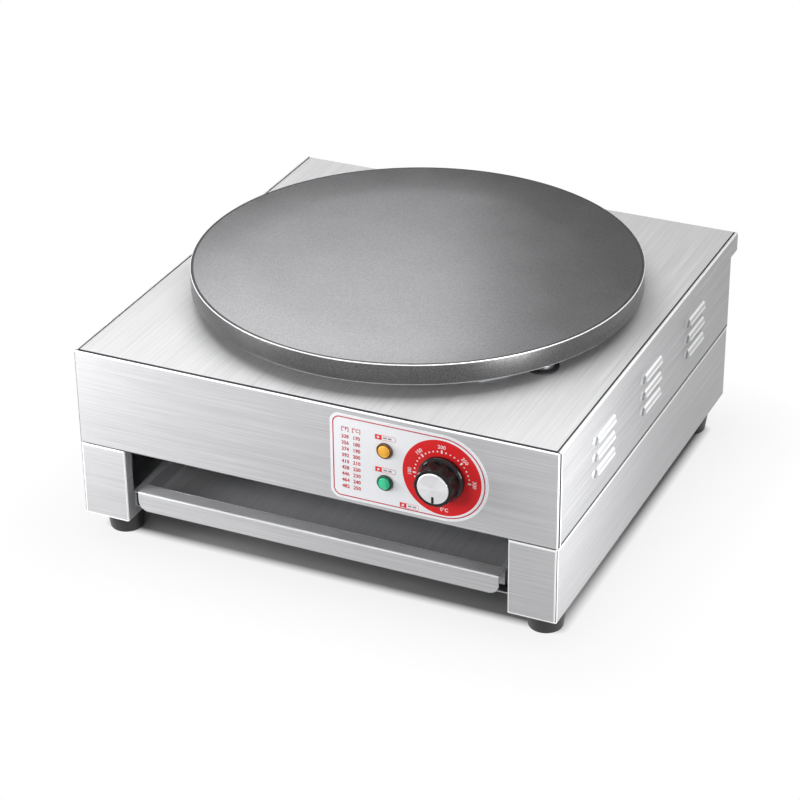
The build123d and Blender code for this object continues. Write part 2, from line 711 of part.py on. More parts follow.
def knob_body():
    neck_z = KNOB_SKIRT_HEIGHT + KNOB_SHOULDER
    outline = Polyline(
        (0, 0),
        (KNOB_SKIRT_RADIUS, 0),
        (KNOB_SKIRT_RADIUS, KNOB_SKIRT_HEIGHT),
        (KNOB_NECK_RADIUS, neck_z),
        (KNOB_RIM_RADIUS, KNOB_LENGTH),
        (0, KNOB_LENGTH),
        close=True,
    )
    body = revolve(Plane.XZ * make_face(outline), axis=Axis.Z)
    mean_radius = (KNOB_NECK_RADIUS + KNOB_RIM_RADIUS) / 2
    flute_x = mean_radius - FLUTE_DEPTH + FLUTE_RADIUS
    flute = rod(FLUTE_RADIUS, flute_x, 0, (neck_z, KNOB_LENGTH + 1))
    for n in range(FLUTE_COUNT):
        body -= Rot(0, 0, 360 * (n + 0.5) / FLUTE_COUNT) * flute
    body -= rod(KNOB_RECESS_RADIUS, 0, 0, (0, KNOB_RECESS_DEPTH))
    body -= rod(SHAFT_RADIUS + SHAFT_CLEARANCE, 0, 0, (0, KNOB_BORE_DEPTH))
    return body


knob = knob_place.location * knob_body()
cap_face = KNOB_LENGTH + CAP_PROUD
cap = rod(CAP_RADIUS, 0, 0, (KNOB_LENGTH, cap_face))
cap -= block(
    (-POINTER_WIDTH / 2, POINTER_WIDTH / 2),
    (-CAP_RADIUS - 1, POINTER_LENGTH - CAP_RADIUS),
    (cap_face - POINTER_DEPTH, cap_face + 1),
)
shaft_front = -KNOB_GAP - KNOB_BORE_DEPTH + FIT_GAP
shaft = rod_y(SHAFT_RADIUS, knob_x, (shaft_front, SHAFT_INSIDE), knob_z)
write("knob", knob)
write("knob_cap", knob_place.location * cap)
write("thermostat_shaft", shaft)

# Control label: a thin plate with one round end, cut out for the bush and the lamps.
label_radius = (LABEL_TOP - LABEL_BOTTOM) / 2
label_middle_z = seam_z + (LABEL_TOP + LABEL_BOTTOM) / 2
label_round_x = label_right - label_radius
label_shape = Pos((label_left + label_round_x) / 2, label_middle_z) * Rectangle(
    label_round_x - label_left, 2 * label_radius
)
label_shape = fillet(label_shape.vertices().group_by(Axis.X)[0], LABEL_CORNER)
label_shape += Pos(label_round_x, label_middle_z) * Circle(label_radius)
label_shape -= Pos(knob_x, knob_z) * Circle(BUSH_RADIUS + HOLE_CLEARANCE)
label = along_y(label_shape, -LABEL_THICKNESS, 0)
for up in (AMBER_UP, GREEN_UP):
    label -= lamp_hole((-LABEL_THICKNESS, 0), up)
write("control_label", label)


# Pilot lamps: one coloured moulding each, with a raised lens on a round rim and a square body behind.
def pilot_lamp(up):
    z = seam_z + up
    front = -LABEL_THICKNESS
    rim_front = front - LAMP_RIM_HEIGHT
    crown_height = LENS_HEIGHT - LAMP_RIM_HEIGHT
    crown = Cone(LENS_RADIUS, LENS_TOP_RADIUS, crown_height)
    lamp = rod_y(LAMP_RADIUS, lamp_x, (rim_front, front), z)
    lamp += Pos(lamp_x, rim_front - crown_height / 2, z) * Rot(90, 0, 0) * crown
    reach = LAMP_BODY_WIDTH / 2
    body_y = (front, SHEET + LAMP_BODY_LENGTH)
    return lamp + block((lamp_x - reach, lamp_x + reach), body_y, (z - reach, z + reach))


write("amber_lamp", pilot_lamp(AMBER_UP))
write("green_lamp", pilot_lamp(GREEN_UP))

# Contactor and terminal block on the housing floor, clear of the heat shield.
contactor_left = CONTACTOR_FROM_SIDE - half_width
contactor_x = (contactor_left, contactor_left + CONTACTOR_WIDTH)
contactor_end = CONTACTOR_FRONT + CONTACTOR_LENGTH
contactor = block(
    contactor_x, (CONTACTOR_FRONT, contactor_end), (floor_top_z, floor_top_z + CONTACTOR_SHELF)
)
contactor += block(
    contactor_x,
    (CONTACTOR_FRONT + CONTACTOR_STEP, contactor_end - CONTACTOR_STEP),
    (floor_top_z + CONTACTOR_SHELF, floor_top_z + CONTACTOR_HEIGHT),
)
write("contactor", contactor)
block_left = BLOCK_FROM_SIDE - half_width
block_end = rear_y - BLOCK_FROM_REAR
terminal_block = block(
    (block_left, block_left + BLOCK_WIDTH),
    (block_end - BLOCK_DEPTH, block_end),
    (floor_top_z, floor_top_z + BLOCK_HEIGHT),
)
write("terminal_block", terminal_block)


# Cable gland: a hexagon with a bevelled nose outside, and a barrel through the rear panel to its locknut.
def gland_ring(radius, bore, start, end):
    return rod_y(radius, gland_x, (rear_y + start, rear_y + end), gland_z, bore)


def gland_hexagon(bore, start, end):
    return Pos(gland_x, rear_y + end, gland_z) * Rot(90, 0, 0) * hexagon(GLAND_FLATS, end - start, bore)


nose = gland_ring(GLAND_NOSE_RADIUS, GLAND_BORE_RADIUS, GLAND_HEX_LENGTH, GLAND_REACH)
nose_rim = nose.edges().filter_by(GeomType.CIRCLE).group_by(Axis.Y)[-1].sort_by(SortBy.RADIUS)[-1]
gland = chamfer(nose_rim, GLAND_NOSE_BEVEL) + gland_hexagon(GLAND_BORE_RADIUS, 0, GLAND_HEX_LENGTH)
gland += gland_ring(GLAND_BARREL_RADIUS, GLAND_BORE_RADIUS, -GLAND_BARREL_LENGTH, 0)
write("cable_gland", gland)
locknut_bore = GLAND_BARREL_RADIUS + THREAD_CLEARANCE
write("gland_locknut", gland_hexagon(locknut_bore, -SHEET - GLAND_LOCKNUT_HEIGHT, -SHEET))
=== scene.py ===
from math import cos, pi, radians, sin, sqrt

import bpy
from mathutils import Matrix, Vector


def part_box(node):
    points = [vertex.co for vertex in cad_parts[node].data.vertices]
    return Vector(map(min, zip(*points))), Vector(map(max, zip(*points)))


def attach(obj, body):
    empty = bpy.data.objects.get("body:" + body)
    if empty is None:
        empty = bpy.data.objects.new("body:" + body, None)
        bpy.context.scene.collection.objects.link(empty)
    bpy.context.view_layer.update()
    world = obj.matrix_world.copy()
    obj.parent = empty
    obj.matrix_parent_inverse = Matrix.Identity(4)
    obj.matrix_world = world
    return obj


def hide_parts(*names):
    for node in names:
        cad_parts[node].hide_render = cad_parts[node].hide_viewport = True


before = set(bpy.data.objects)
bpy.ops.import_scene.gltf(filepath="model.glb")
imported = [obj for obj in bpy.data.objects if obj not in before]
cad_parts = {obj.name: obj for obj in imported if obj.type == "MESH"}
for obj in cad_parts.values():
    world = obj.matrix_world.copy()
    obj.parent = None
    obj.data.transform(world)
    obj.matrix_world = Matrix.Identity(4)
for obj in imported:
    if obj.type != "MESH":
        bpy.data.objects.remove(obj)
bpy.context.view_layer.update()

# Electric crepe maker, in metres, +Z up and the controls facing -Y. The front panel's face lies at
# front_y and the seam between base and housing at seam_z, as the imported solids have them.
mm = 0.001
front_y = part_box("front_panel")[0].y
seam_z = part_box("front_panel")[0].z
deck_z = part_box("front_panel")[1].z


# ---------------------------------------------------------------------------------------------
# Rubber feet
# Round buffers of black natural rubber, moulded round a bolt and screwed up to the base. They
# taper to the worktop, with a rounded lower rim and a hollow underneath that grips.
# ---------------------------------------------------------------------------------------------
def sheet_colour(code):
    """An sRGB hex colour as the linear colour that a shader socket takes."""
    parts = [int(code[i : i + 2], 16) / 255 for i in (0, 2, 4)]
    return (*[p / 12.92 if p <= 0.04045 else ((p + 0.055) / 1.055) ** 2.4 for p in parts], 1.0)


def add_node(tree, kind, settings=None, sockets=None):
    """Adds one shader node: its settings, and its sockets as plain values or (node, output) links."""
    made = tree.nodes.new(kind)
    for name, value in (settings or {}).items():
        setattr(made, name, value)
    for name, value in (sockets or {}).items():
        if isinstance(value, tuple) and isinstance(value[0], bpy.types.Node):
            tree.links.new(value[0].outputs[value[1]], made.inputs[name])
        else:
            made.inputs[name].default_value = value
    return made


def new_finish(name, **sockets):
    """A material for one real finish, with the shader's own sockets set."""
    finish = bpy.data.materials.new(name)
    finish.use_nodes = True
    shader = finish.node_tree.nodes["Principled BSDF"]
    for socket, value in sockets.items():
        shader.inputs[socket.replace("_", " ")].default_value = value
    return finish, finish.node_tree, shader


def grain_points(tree, scale):
    """Object coordinates stretched to a grain of so many to the metre on each axis."""
    place = add_node(tree, "ShaderNodeTexCoord")
    return add_node(tree, "ShaderNodeMapping", None, {"Vector": (place, "Object"), "Scale": scale})


def grained_finish(name, scale, detail, dark, light, low=0.0, high=1.0, stretch=(1, 1, 1), **sockets):
    """A finish whose colour runs from dark to light with the grain that its making leaves."""
    finish, tree, shader = new_finish(name, **sockets)
    points = grain_points(tree, stretch)
    fineness = {"Vector": (points, "Vector"), "Scale": scale, "Detail": detail}
    grain = add_node(tree, "ShaderNodeTexNoise", None, fineness)
    tone = add_node(tree, "ShaderNodeValToRGB", None, {"Fac": (grain, "Fac")})
    for stop, (place, code) in zip(tone.color_ramp.elements, ((low, dark), (high, light))):
        stop.position = place
        stop.color = sheet_colour(code)
    tree.links.new(tone.outputs["Color"], shader.inputs["Base Color"])
    return finish, tree, shader, grain


weld = 0.002


def turned(name, profile, centre, steps, axis="Z"):
    """Draws half a section, radius and height, by extruding one point, and spins it round Z or -Y."""
    bpy.ops.object.select_all(action="DESELECT")
    bpy.ops.mesh.primitive_plane_add(size=mm)
    piece = bpy.context.object
    piece.name = name
    bpy.ops.object.mode_set(mode="EDIT")
    bpy.ops.mesh.select_mode(type="VERT")
    bpy.ops.mesh.select_all(action="SELECT")
    bpy.ops.mesh.merge(type="CENTER")
    bpy.ops.transform.translate(value=(profile[0][0], 0, profile[0][1]))
    for (r0, z0), (r1, z1) in zip(profile, profile[1:]):
        bpy.ops.mesh.extrude_region_move(TRANSFORM_OT_translate={"value": (r1 - r0, 0, z1 - z0)})
    bpy.ops.mesh.select_all(action="SELECT")
    bpy.ops.mesh.spin(steps=steps, angle=2 * pi, center=(0, 0, 0), axis=(0, 0, 1))
    bpy.ops.mesh.select_all(action="SELECT")
    bpy.ops.mesh.remove_doubles(threshold=weld * mm)
    bpy.ops.mesh.normals_make_consistent(inside=False)
    bpy.ops.object.mode_set(mode="OBJECT")
    if axis == "-Y":
        piece.rotation_euler = (radians(90), 0, 0)
    piece.location = centre
    settle(piece)
    return piece


def settle(piece):
    """Puts a piece's place into its mesh, so that the object itself stands at the origin."""
    bpy.ops.object.select_all(action="DESELECT")
    piece.select_set(True)
    bpy.context.view_layer.objects.active = piece
    bpy.ops.object.transform_apply(location=True, rotation=True, scale=True)


def round_edges(piece, width, segments=2, angle=28):
    """Breaks the sharp edges with a small radius, and shades the rest smooth."""
    settle(piece)
    bevel = piece.modifiers.new("edge_break", "BEVEL")
    bevel.width = width
    bevel.segments = segments
    bevel.limit_method = "ANGLE"
    bevel.angle_limit = radians(angle)
    bpy.ops.object.modifier_apply(modifier=bevel.name)
    bpy.ops.object.shade_smooth_by_angle(angle=radians(40))


def mount(piece, body, slot, finish, *nodes):
    """Gives a piece its finish and its body, and hides the solids that it stands for. The slot argument is
    not used.
    """
    piece.data.materials.clear()
    piece.data.materials.append(finish)
    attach(piece, body)
    if nodes:
        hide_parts(*nodes)


# Moulded rubber: a soft wide sheen, and a very fine matte texture from the mould.
moulded_rubber, tree, shader, bloom = grained_finish(
    "moulded_black_rubber", 140.0, 4.0, "161617", "262627", Roughness=0.42, IOR=1.52
)
points = grain_points(tree, (1, 1, 1))
mould_grain = add_node(tree, "ShaderNodeTexNoise", None, {"Vector": (points, "Vector"), "Scale": 1800.0})
dimple = add_node(
    tree, "ShaderNodeBump", None, {"Height": (mould_grain, "Fac"), "Strength": 0.25, "Distance": 0.05 * mm}
)
tree.links.new(dimple.outputs["Normal"], shader.inputs["Normal"])

foot_section = [
    (0, 4.0), (4.6, 4.0), (5.4, 3.2), (6.6, 0.0), (13.4, 0.0), (14.4, 0.5), (15.0, 1.6),
    (18.2, 24.4), (18.1, 25.5), (17.5, 26.0), (0, 26.0),
]
for corner in ("front_left", "front_right", "rear_left", "rear_right"):
    low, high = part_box(corner + "_foot")
    middle = ((low.x + high.x) / 2, (low.y + high.y) / 2, 0)
    foot = turned(corner + "_rubber_foot", [(r * mm, z * mm) for r, z in foot_section], middle, steps=72)
    round_edges(foot, 0.3 * mm)
    mount(foot, "housing", "foot_rubber", moulded_rubber, corner + "_foot")


# ---------------------------------------------------------------------------------------------
# Base, housing and tray sheets
# 1.2 mm stainless sheet, laser cut and folded, with a No. 4 brushed finish: fine straight scratches
# along each sheet, which spread the light to the sides and leave a faint silky streak.
# ---------------------------------------------------------------------------------------------
def dress(finish, *names):
    """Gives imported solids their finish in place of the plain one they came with."""
    for name in names:
        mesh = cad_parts[name].data
        mesh.materials.clear()
        mesh.materials.append(finish)


def brushed_steel(name, across, joints, shades, roughness=0.4, pressed_from=None):
    """Scratches about 1.1 mm apart across one axis, so that they show, and 100 mm long on the others.
    Joints are planes or corner lines, given by their axes and places, with two distances from them: up to
    the first the edge is painted dark, a painted shade in the joint, and up to the second it is painted
    white, a painted highlight on the fold.
    The hoods that are pressed out from a plane get a painted highlight on their shoulders and lips: white
    along their straight part, and a painted shade of grey at their domed ends."""
    finish, tree, shader = new_finish(name, Metallic=0.35, Roughness=roughness)
    fine_scale = [9.0, 9.0, 9.0]
    fine_scale[across] = 900.0
    broad_scale = [2.5, 2.5, 2.5]
    broad_scale[across] = 260.0
    fine_points = grain_points(tree, fine_scale)
    broad_points = grain_points(tree, broad_scale)
    fine = add_node(
        tree,
        "ShaderNodeTexNoise",
        None,
        {"Vector": (fine_points, "Vector"), "Scale": 1.0, "Detail": 3.0, "Roughness": 0.65},
    )
    broad = add_node(
        tree, "ShaderNodeTexNoise", None, {"Vector": (broad_points, "Vector"), "Scale": 1.0, "Detail": 2.0}
    )
    fine_share = add_node(tree, "ShaderNodeMath", {"operation": "MULTIPLY"}, {0: (fine, "Fac"), 1: 0.8})
    streak = add_node(
        tree,
        "ShaderNodeMath",
        {"operation": "MULTIPLY_ADD"},
        {0: (broad, "Fac"), 1: 0.2, 2: (fine_share, "Value")},
    )
    tone = add_node(tree, "ShaderNodeValToRGB", None, {"Fac": (streak, "Value")})
    tone.color_ramp.elements[0].position = 0.3
    tone.color_ramp.elements[0].color = sheet_colour(shades[0])
    tone.color_ramp.elements[1].position = 0.7
    tone.color_ramp.elements[1].color = sheet_colour(shades[1])
    colour = (tone, "Color")
    place = add_node(tree, "ShaderNodeTexCoord")
    axes = add_node(tree, "ShaderNodeSeparateXYZ", None, {"Vector": (place, "Object")})
    if pressed_from:
        # The hoods stand 3.5 mm high and 114.5 mm apart, and their straight part ends in domes. Their
        # shoulders and lips are painted white as a painted highlight, and grey as a painted shade at the
        # domes.
        outwards = add_node(tree, "ShaderNodeMath", {"operation": "ABSOLUTE"}, {0: (axes, "X")})
        hood_height, half_pitch, straight_end, dome_start = 3.5 * mm, 57.25 * mm, 19.5 * mm, 21.5 * mm
        proud = add_node(
            tree,
            "ShaderNodeMapRange",
            None,
            {"Value": (outwards, "Value"), "From Min": pressed_from, "From Max": pressed_from + hood_height},
        )
        hood_highlight_and_knob_gloss = add_node(tree, "ShaderNodeValToRGB", None, {"Fac": (proud, "Result")})
        painted_highlight_levels = ((0.34, 0), (0.46, 1), (0.66, 1), (0.76, 0.15), (0.92, 0.15), (0.97, 1))
        for n, (spot, level) in enumerate(painted_highlight_levels):
            point = hood_highlight_and_knob_gloss.color_ramp.elements[n] if n < 2 else hood_highlight_and_knob_gloss.color_ramp.elements.new(spot)
            point.position = spot
            point.color = (level, level, level, 1)
        along = add_node(
            tree, "ShaderNodeMath", {"operation": "WRAP"}, {0: (axes, "Y"), 1: half_pitch, 2: -half_pitch}
        )
        from_middle = add_node(tree, "ShaderNodeMath", {"operation": "ABSOLUTE"}, {0: (along, "Value")})
        end = add_node(
            tree,
            "ShaderNodeMapRange",
            None,
            {"Value": (from_middle, "Value"), "From Min": straight_end, "From Max": dome_start},
        )
        # Painted highlight white along the straight part, painted shade grey at the domed ends.
        painted_hood_highlight_and_shade = add_node(tree, "ShaderNodeMix", {"data_type": "RGBA"}, {"Factor": (end, "Result")})
        painted_hood_highlight_and_shade.inputs["A"].default_value = sheet_colour("FFFFFF")
        painted_hood_highlight_and_shade.inputs["B"].default_value = sheet_colour("7C7C7E")
        hood = add_node(
            tree, "ShaderNodeMix", {"data_type": "RGBA"}, {"Factor": (hood_highlight_and_knob_gloss, "Color"), "B": (painted_hood_highlight_and_shade, "Result")}
        )
        tree.links.new(colour[0].outputs[colour[1]], hood.inputs["A"])
        colour = (hood, "Result")
    for planes, painted_shade_width, painted_highlight_width in joints:
        gap = None
        for axis, plane in planes.items():
            away = add_node(tree, "ShaderNodeMath", {"operation": "SUBTRACT"}, {0: (axes, axis), 1: plane})
            side = add_node(tree, "ShaderNodeMath", {"operation": "ABSOLUTE"}, {0: (away, "Value")})
            if gap:
                both = {0: (gap, "Value"), 1: (side, "Value")}
                side = add_node(tree, "ShaderNodeMath", {"operation": "MAXIMUM"}, both)
            gap = side
        # Painted highlight: white up to the second distance from the joint; painted shade: dark up to the
        # first, laid over it.
        for reach, code in ((painted_highlight_width, "FAFAFA"), (painted_shade_width, "2A2A2C")):
            outside_painted_band = add_node(
                tree,
                "ShaderNodeMapRange",
                None,
                {"Value": (gap, "Value"), "From Min": (reach - 0.2) * mm, "From Max": (reach + 0.1) * mm},
            )
            edge = add_node(tree, "ShaderNodeMix", {"data_type": "RGBA"}, {"Factor": (outside_painted_band, "Result")})
            edge.inputs["A"].default_value = sheet_colour(code)
            tree.links.new(colour[0].outputs[colour[1]], edge.inputs["B"])
            colour = (edge, "Result")
    tree.links.new(colour[0].outputs[colour[1]], shader.inputs["Base Color"])
    sheen = add_node(
        tree,
        "ShaderNodeMapRange",
        None,
        {
            "Value": (fine, "Fac"),
            "From Min": 0.3,
            "From Max": 0.7,
            "To Min": roughness - 0.04,
            "To Max": roughness + 0.04,
        },
    )
    tree.links.new(sheen.outputs["Result"], shader.inputs["Roughness"])
    scratch = add_node(
        tree, "ShaderNodeBump", None, {"Height": (fine, "Fac"), "Strength": 0.1, "Distance": 0.05 * mm}
    )
    tree.links.new(scratch.outputs["Normal"], shader.inputs["Normal"])
    return finish


# The sheets meet at the seam over the base, round the front panel and along the top panel's edges, and the
# base's sides end in the inner edges of the front posts. At these joints the steel gets painted shade, a
# dark line in the gap, and painted highlight, a white strip on the rounded folds.
across_x, across_z = 0, 2
joint_gap = 0.5 * mm
front_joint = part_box("right_side_panel")[0].y - joint_gap / 2
top_low, top_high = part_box("top_panel")
front_low, front_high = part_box("front_panel")
base_low_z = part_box("base_right_side")[0].z
post_width = 43.5 * mm
# Painted light and shade: the top panel's shades are lighter than the front's, a painted highlight from
# above, and the side panels' darker, a painted shade.
satin, satin_painted_darker_sides, satin_painted_lighter_top = ("B0B0B2", "CCCCCE"), ("9E9EA0", "CACACC"), ("C3C3C4", "D9D9DA")
front_steel = brushed_steel(
    "brushed_stainless_front",
    across_z,
    [
        ({"X": front_low.x, "Y": front_y}, 1.3, 0.0),
        ({"X": front_high.x}, 0.0, 1.3),
        ({"Z": front_high.z}, 0.0, 1.1),
        ({"Z": seam_z}, 1.2, 0.0),
        ({"Y": front_joint}, 1.5, 0.0),
    ],
    satin,
)
side_steel = brushed_steel(
    "brushed_stainless_sides",
    across_z,
    [({"Z": seam_z}, 3.0, 0.0), ({"Y": front_joint}, 2.0, 4.0), ({"Z": front_high.z}, 0.0, 1.3)],
    satin_painted_darker_sides,
    pressed_from=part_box("base_right_side")[1].x,
)
base_steel = brushed_steel(
    "brushed_stainless_base",
    across_z,
    [
        ({"Z": seam_z}, 0.3, 2.1),
        ({"X": front_high.x, "Y": front_y}, 0.9, 2.4),
        ({"X": front_low.x, "Y": front_y}, 1.3, 2.4),
        ({"X": front_low.x + post_width, "Y": front_y}, 0.0, 1.4),
        ({"X": front_high.x - post_width, "Y": front_y}, 0.0, 1.4),
        ({"Z": base_low_z, "Y": front_y}, 0.0, 1.3),
    ],
    satin,
)
top_steel = brushed_steel(
    "brushed_stainless_top",
    across_x,
    [
        ({"X": top_low.x}, 1.1, 0.0),
        ({"X": top_high.x}, 1.1, 0.0),
        ({"Y": top_low.y}, 1.4, 0.0),
    ],
    satin_painted_lighter_top,
    roughness=0.5,
)
lip_steel = brushed_steel("brushed_stainless_tray_lip", across_z, [], satin)
tray_steel = brushed_steel("brushed_stainless_tray", across_x, [], ("B4B4B6", "C6C6C8"))
dress(front_steel, "front_panel")
dress(side_steel, "left_side_panel", "right_side_panel")
dress(top_steel, "top_panel")
dress(base_steel, "base_left_side", "base_right_side", "base_rear_panel", "rear_panel")
dress(lip_steel, "tray_handle")
dress(tray_steel, "tray_pan")

# Galvanised sheet inside: tray runners, housing floor, heat shield, clamp and clip. Hot-dip zinc
# leaves a dull grey with flat crystals a few millimetres across.
galvanised, tree, shader = new_finish("galvanised_sheet", Metallic=1.0, Roughness=0.46)
points = grain_points(tree, (1, 1, 1))
crystal = add_node(tree, "ShaderNodeTexVoronoi", None, {"Vector": (points, "Vector"), "Scale": 190.0})
cloud = {"Vector": (points, "Vector"), "Scale": 60.0, "Detail": 3.0}
bloom = add_node(tree, "ShaderNodeTexNoise", None, cloud)
facet = add_node(tree, "ShaderNodeSeparateColor", None, {"Color": (crystal, "Color")})
blend = add_node(tree, "ShaderNodeMath", {"operation": "MULTIPLY_ADD"}, {0: (facet, "Red"), 1: 0.5})
tree.links.new(bloom.outputs["Fac"], blend.inputs[2])
tone = add_node(tree, "ShaderNodeValToRGB", None, {"Fac": (blend, "Value")})
tone.color_ramp.elements[0].position = 0.3
tone.color_ramp.elements[0].color = sheet_colour("8B8D90")
tone.color_ramp.elements[1].position = 1.0
tone.color_ramp.elements[1].color = sheet_colour("B4B6B9")
tree.links.new(tone.outputs["Color"], shader.inputs["Base Color"])
dull = add_node(
    tree, "ShaderNodeMapRange", None, {"Value": (blend, "Value"), "To Min": 0.36, "To Max": 0.58}
)
tree.links.new(dull.outputs["Result"], shader.inputs["Roughness"])
ripple = add_node(
    tree, "ShaderNodeBump", None, {"Height": (bloom, "Fac"), "Strength": 0.1, "Distance": 0.1 * mm}
)
tree.links.new(ripple.outputs["Normal"], shader.inputs["Normal"])
dress(galvanised, "left_tray_runner", "right_tray_runner", "housing_floor", "element_clamp", "bulb_clip")


def copy_of(piece, name):
    """A copy of a piece with its own mesh."""
    twin = piece.copy()
    twin.data = piece.data.copy()
    twin.name = name
    bpy.context.scene.collection.objects.link(twin)
    return twin


# The heat shield's flange has its corners clipped 178 mm from its middle, so that they stay under
# the plate's rim.
shield = copy_of(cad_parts["heat_shield_pan"], "clipped_heat_shield")
shield_low, shield_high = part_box("heat_shield_pan")
shield_middle = (shield_low + shield_high) / 2
clip_reach = 178.0 * mm / sqrt(2)
settle(shield)
bpy.ops.object.mode_set(mode="EDIT")
bpy.ops.mesh.select_all(action="SELECT")
bpy.ops.mesh.remove_doubles(threshold=0.005 * mm)
for across, along in ((1, 1), (1, -1), (-1, 1), (-1, -1)):
    bpy.ops.mesh.select_all(action="SELECT")
    bpy.ops.mesh.bisect(
        plane_co=(shield_middle.x + across * clip_reach, shield_middle.y + along * clip_reach, deck_z),
        plane_no=(across, along, 0),
        clear_outer=True,
        use_fill=True,
    )
bpy.ops.object.mode_set(mode="OBJECT")
mount(shield, "housing", "inner_sheet", galvanised, "heat_shield_pan")


# ---------------------------------------------------------------------------------------------
# Griddle plate
# Cast iron, 400 mm across, turned on top and at the rim and then blasted to an even matte grey. The rim is
# painted darker than the top, a painted shade, and its broken edges are painted bright, a painted highlight.
# ---------------------------------------------------------------------------------------------
plate_low, plate_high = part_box("griddle_plate")
plate_centre = (plate_low + plate_high) / 2
plate_radius = (plate_high.x - plate_low.x) / 2
plate_bottom = plate_low.z
plate_top = plate_high.z


def plate_grain(name, light, dark, roughness, metallic):
    """Blasted iron: an even speckle of about a millimetre, with pits to match and hardly any cloud."""
    finish, tree, shader = new_finish(name, Metallic=metallic, Roughness=roughness)
    points = grain_points(tree, (1, 1, 1))
    speckle = add_node(
        tree,
        "ShaderNodeTexNoise",
        None,
        {"Vector": (points, "Vector"), "Scale": 950.0, "Detail": 2.0, "Roughness": 0.7},
    )
    cloud = add_node(
        tree, "ShaderNodeTexNoise", None, {"Vector": (points, "Vector"), "Scale": 26.0, "Detail": 3.0}
    )
    mixed = add_node(tree, "ShaderNodeMath", {"operation": "MULTIPLY_ADD"}, {0: (cloud, "Fac"), 1: 0.12})
    share = add_node(tree, "ShaderNodeMath", {"operation": "MULTIPLY"}, {0: (speckle, "Fac"), 1: 0.88})
    tree.links.new(share.outputs[0], mixed.inputs[2])
    tone = add_node(tree, "ShaderNodeValToRGB", None, {"Fac": (mixed, "Value")})
    tone.color_ramp.elements[0].position = 0.36
    tone.color_ramp.elements[0].color = sheet_colour(dark)
    tone.color_ramp.elements[1].position = 0.64
    tone.color_ramp.elements[1].color = sheet_colour(light)
    tree.links.new(tone.outputs["Color"], shader.inputs["Base Color"])
    rough = add_node(
        tree,
        "ShaderNodeMapRange",
        None,
        {"Value": (cloud, "Fac"), "To Min": roughness - 0.02, "To Max": roughness + 0.02},
    )
    tree.links.new(rough.outputs["Result"], shader.inputs["Roughness"])
    pit = add_node(
        tree, "ShaderNodeBump", None, {"Height": (speckle, "Fac"), "Strength": 0.35, "Distance": 0.08 * mm}
    )
    tree.links.new(pit.outputs["Normal"], shader.inputs["Normal"])
    return finish


blasted_iron = plate_grain("blasted_cast_iron", "B3B3B5", "979799", 0.32, 0.9)
# Painted shade: the rim's grey is darker than the top's.
rim_iron_painted_darker = plate_grain("blasted_rim_iron", "6C6C6C", "505050", 0.3, 0.95)

# Broken edges: a narrow turned chamfer above and below the rim, painted near white as a painted highlight,
# and a fine groove inside the upper one, painted dark as a painted shade.
# Painted highlight: the chamfers are painted near white.
painted_highlight_edge, tree, shader, rings = grained_finish(
    "turned_chamfer_painted_highlight",
    1.0,
    3.0,
    "EFEFF0",
    "FDFDFD",
    0.3,
    0.7,
    (60, 60, 1250),
    Metallic=0.6,
    Roughness=0.25,
)
rings.inputs["Roughness"].default_value = 0.6

# Painted shade: the groove inside the upper chamfer is painted dark.
groove_painted_shade = grained_finish("groove_painted_shade_film", 300.0, 3.0, "2B2A2A", "474646", Roughness=0.5, IOR=1.5)[0]

depth = (plate_top - plate_bottom) / mm
edge = plate_radius / mm
chamfer, low_chamfer, low_chamfer_height = 0.7, 1.0, 1.1
groove_depth, groove_outer, groove_inner, groove_end = 0.25, 1.1, 2.5, 2.9
plate_section = [
    (0, 0), (edge - 60, 0), (edge - 2.4, 0), (edge - low_chamfer, 0), (edge, low_chamfer_height),
    (edge, depth - chamfer), (edge - chamfer, depth), (edge - groove_outer, depth - groove_depth),
    (edge - groove_inner, depth - groove_depth), (edge - groove_end, depth), (edge - 60, depth), (0, depth),
]
plate = turned(
    "cast_griddle_plate",
    [(r * mm, z * mm) for r, z in plate_section],
    (plate_centre.x, plate_centre.y, plate_bottom),
    steps=256,
)
round_edges(plate, 0.12 * mm, 2, 20)
mount(plate, "housing", "cast_plate", blasted_iron, "griddle_plate")
for finish in (rim_iron_painted_darker, painted_highlight_edge, groove_painted_shade):
    plate.data.materials.append(finish)
rim_slot, edge_slot, groove_slot, slack = 1, 2, 3, 0.05
for face in plate.data.polygons:
    spot = face.center
    out = sqrt((spot.x - plate_centre.x) ** 2 + (spot.y - plate_centre.y) ** 2)
    high = spot.z > plate_bottom + (depth - chamfer - slack) * mm
    low = spot.z < plate_bottom + (low_chamfer_height + slack) * mm
    if out > plate_radius - ((chamfer if high else low_chamfer) + slack) * mm:
        face.material_index = edge_slot if high or low else rim_slot
    elif high and out > plate_radius - (groove_end + 4 * slack) * mm:
        face.material_index = groove_slot


# ---------------------------------------------------------------------------------------------
# Plate legs and washers
# Turned steel spacers that hold the plate off the housing, each on a black fibre washer that keeps
# the heat from the sheet. Cap nuts hold them under the top panel.
# ---------------------------------------------------------------------------------------------
turned_steel, tree, shader, rings = grained_finish(
    "turned_mild_steel",
    1.0,
    2.0,
    "77787B",
    "A2A3A6",
    0.35,
    0.65,
    (20, 20, 1400),
    Metallic=1.0,
    Roughness=0.34,
)
tool_mark = add_node(
    tree, "ShaderNodeBump", None, {"Height": (rings, "Fac"), "Strength": 0.2, "Distance": 0.06 * mm}
)
tree.links.new(tool_mark.outputs["Normal"], shader.inputs["Normal"])

pressed_fibre, tree, shader, fibre = grained_finish(
    "pressed_black_fibre", 700.0, 3.0, "1B1B1C", "38383A", 0.35, 0.7, Roughness=0.6, IOR=1.5
)
fuzz = add_node(
    tree, "ShaderNodeBump", None, {"Height": (fibre, "Fac"), "Strength": 0.3, "Distance": 0.06 * mm}
)
tree.links.new(fuzz.outputs["Normal"], shader.inputs["Normal"])

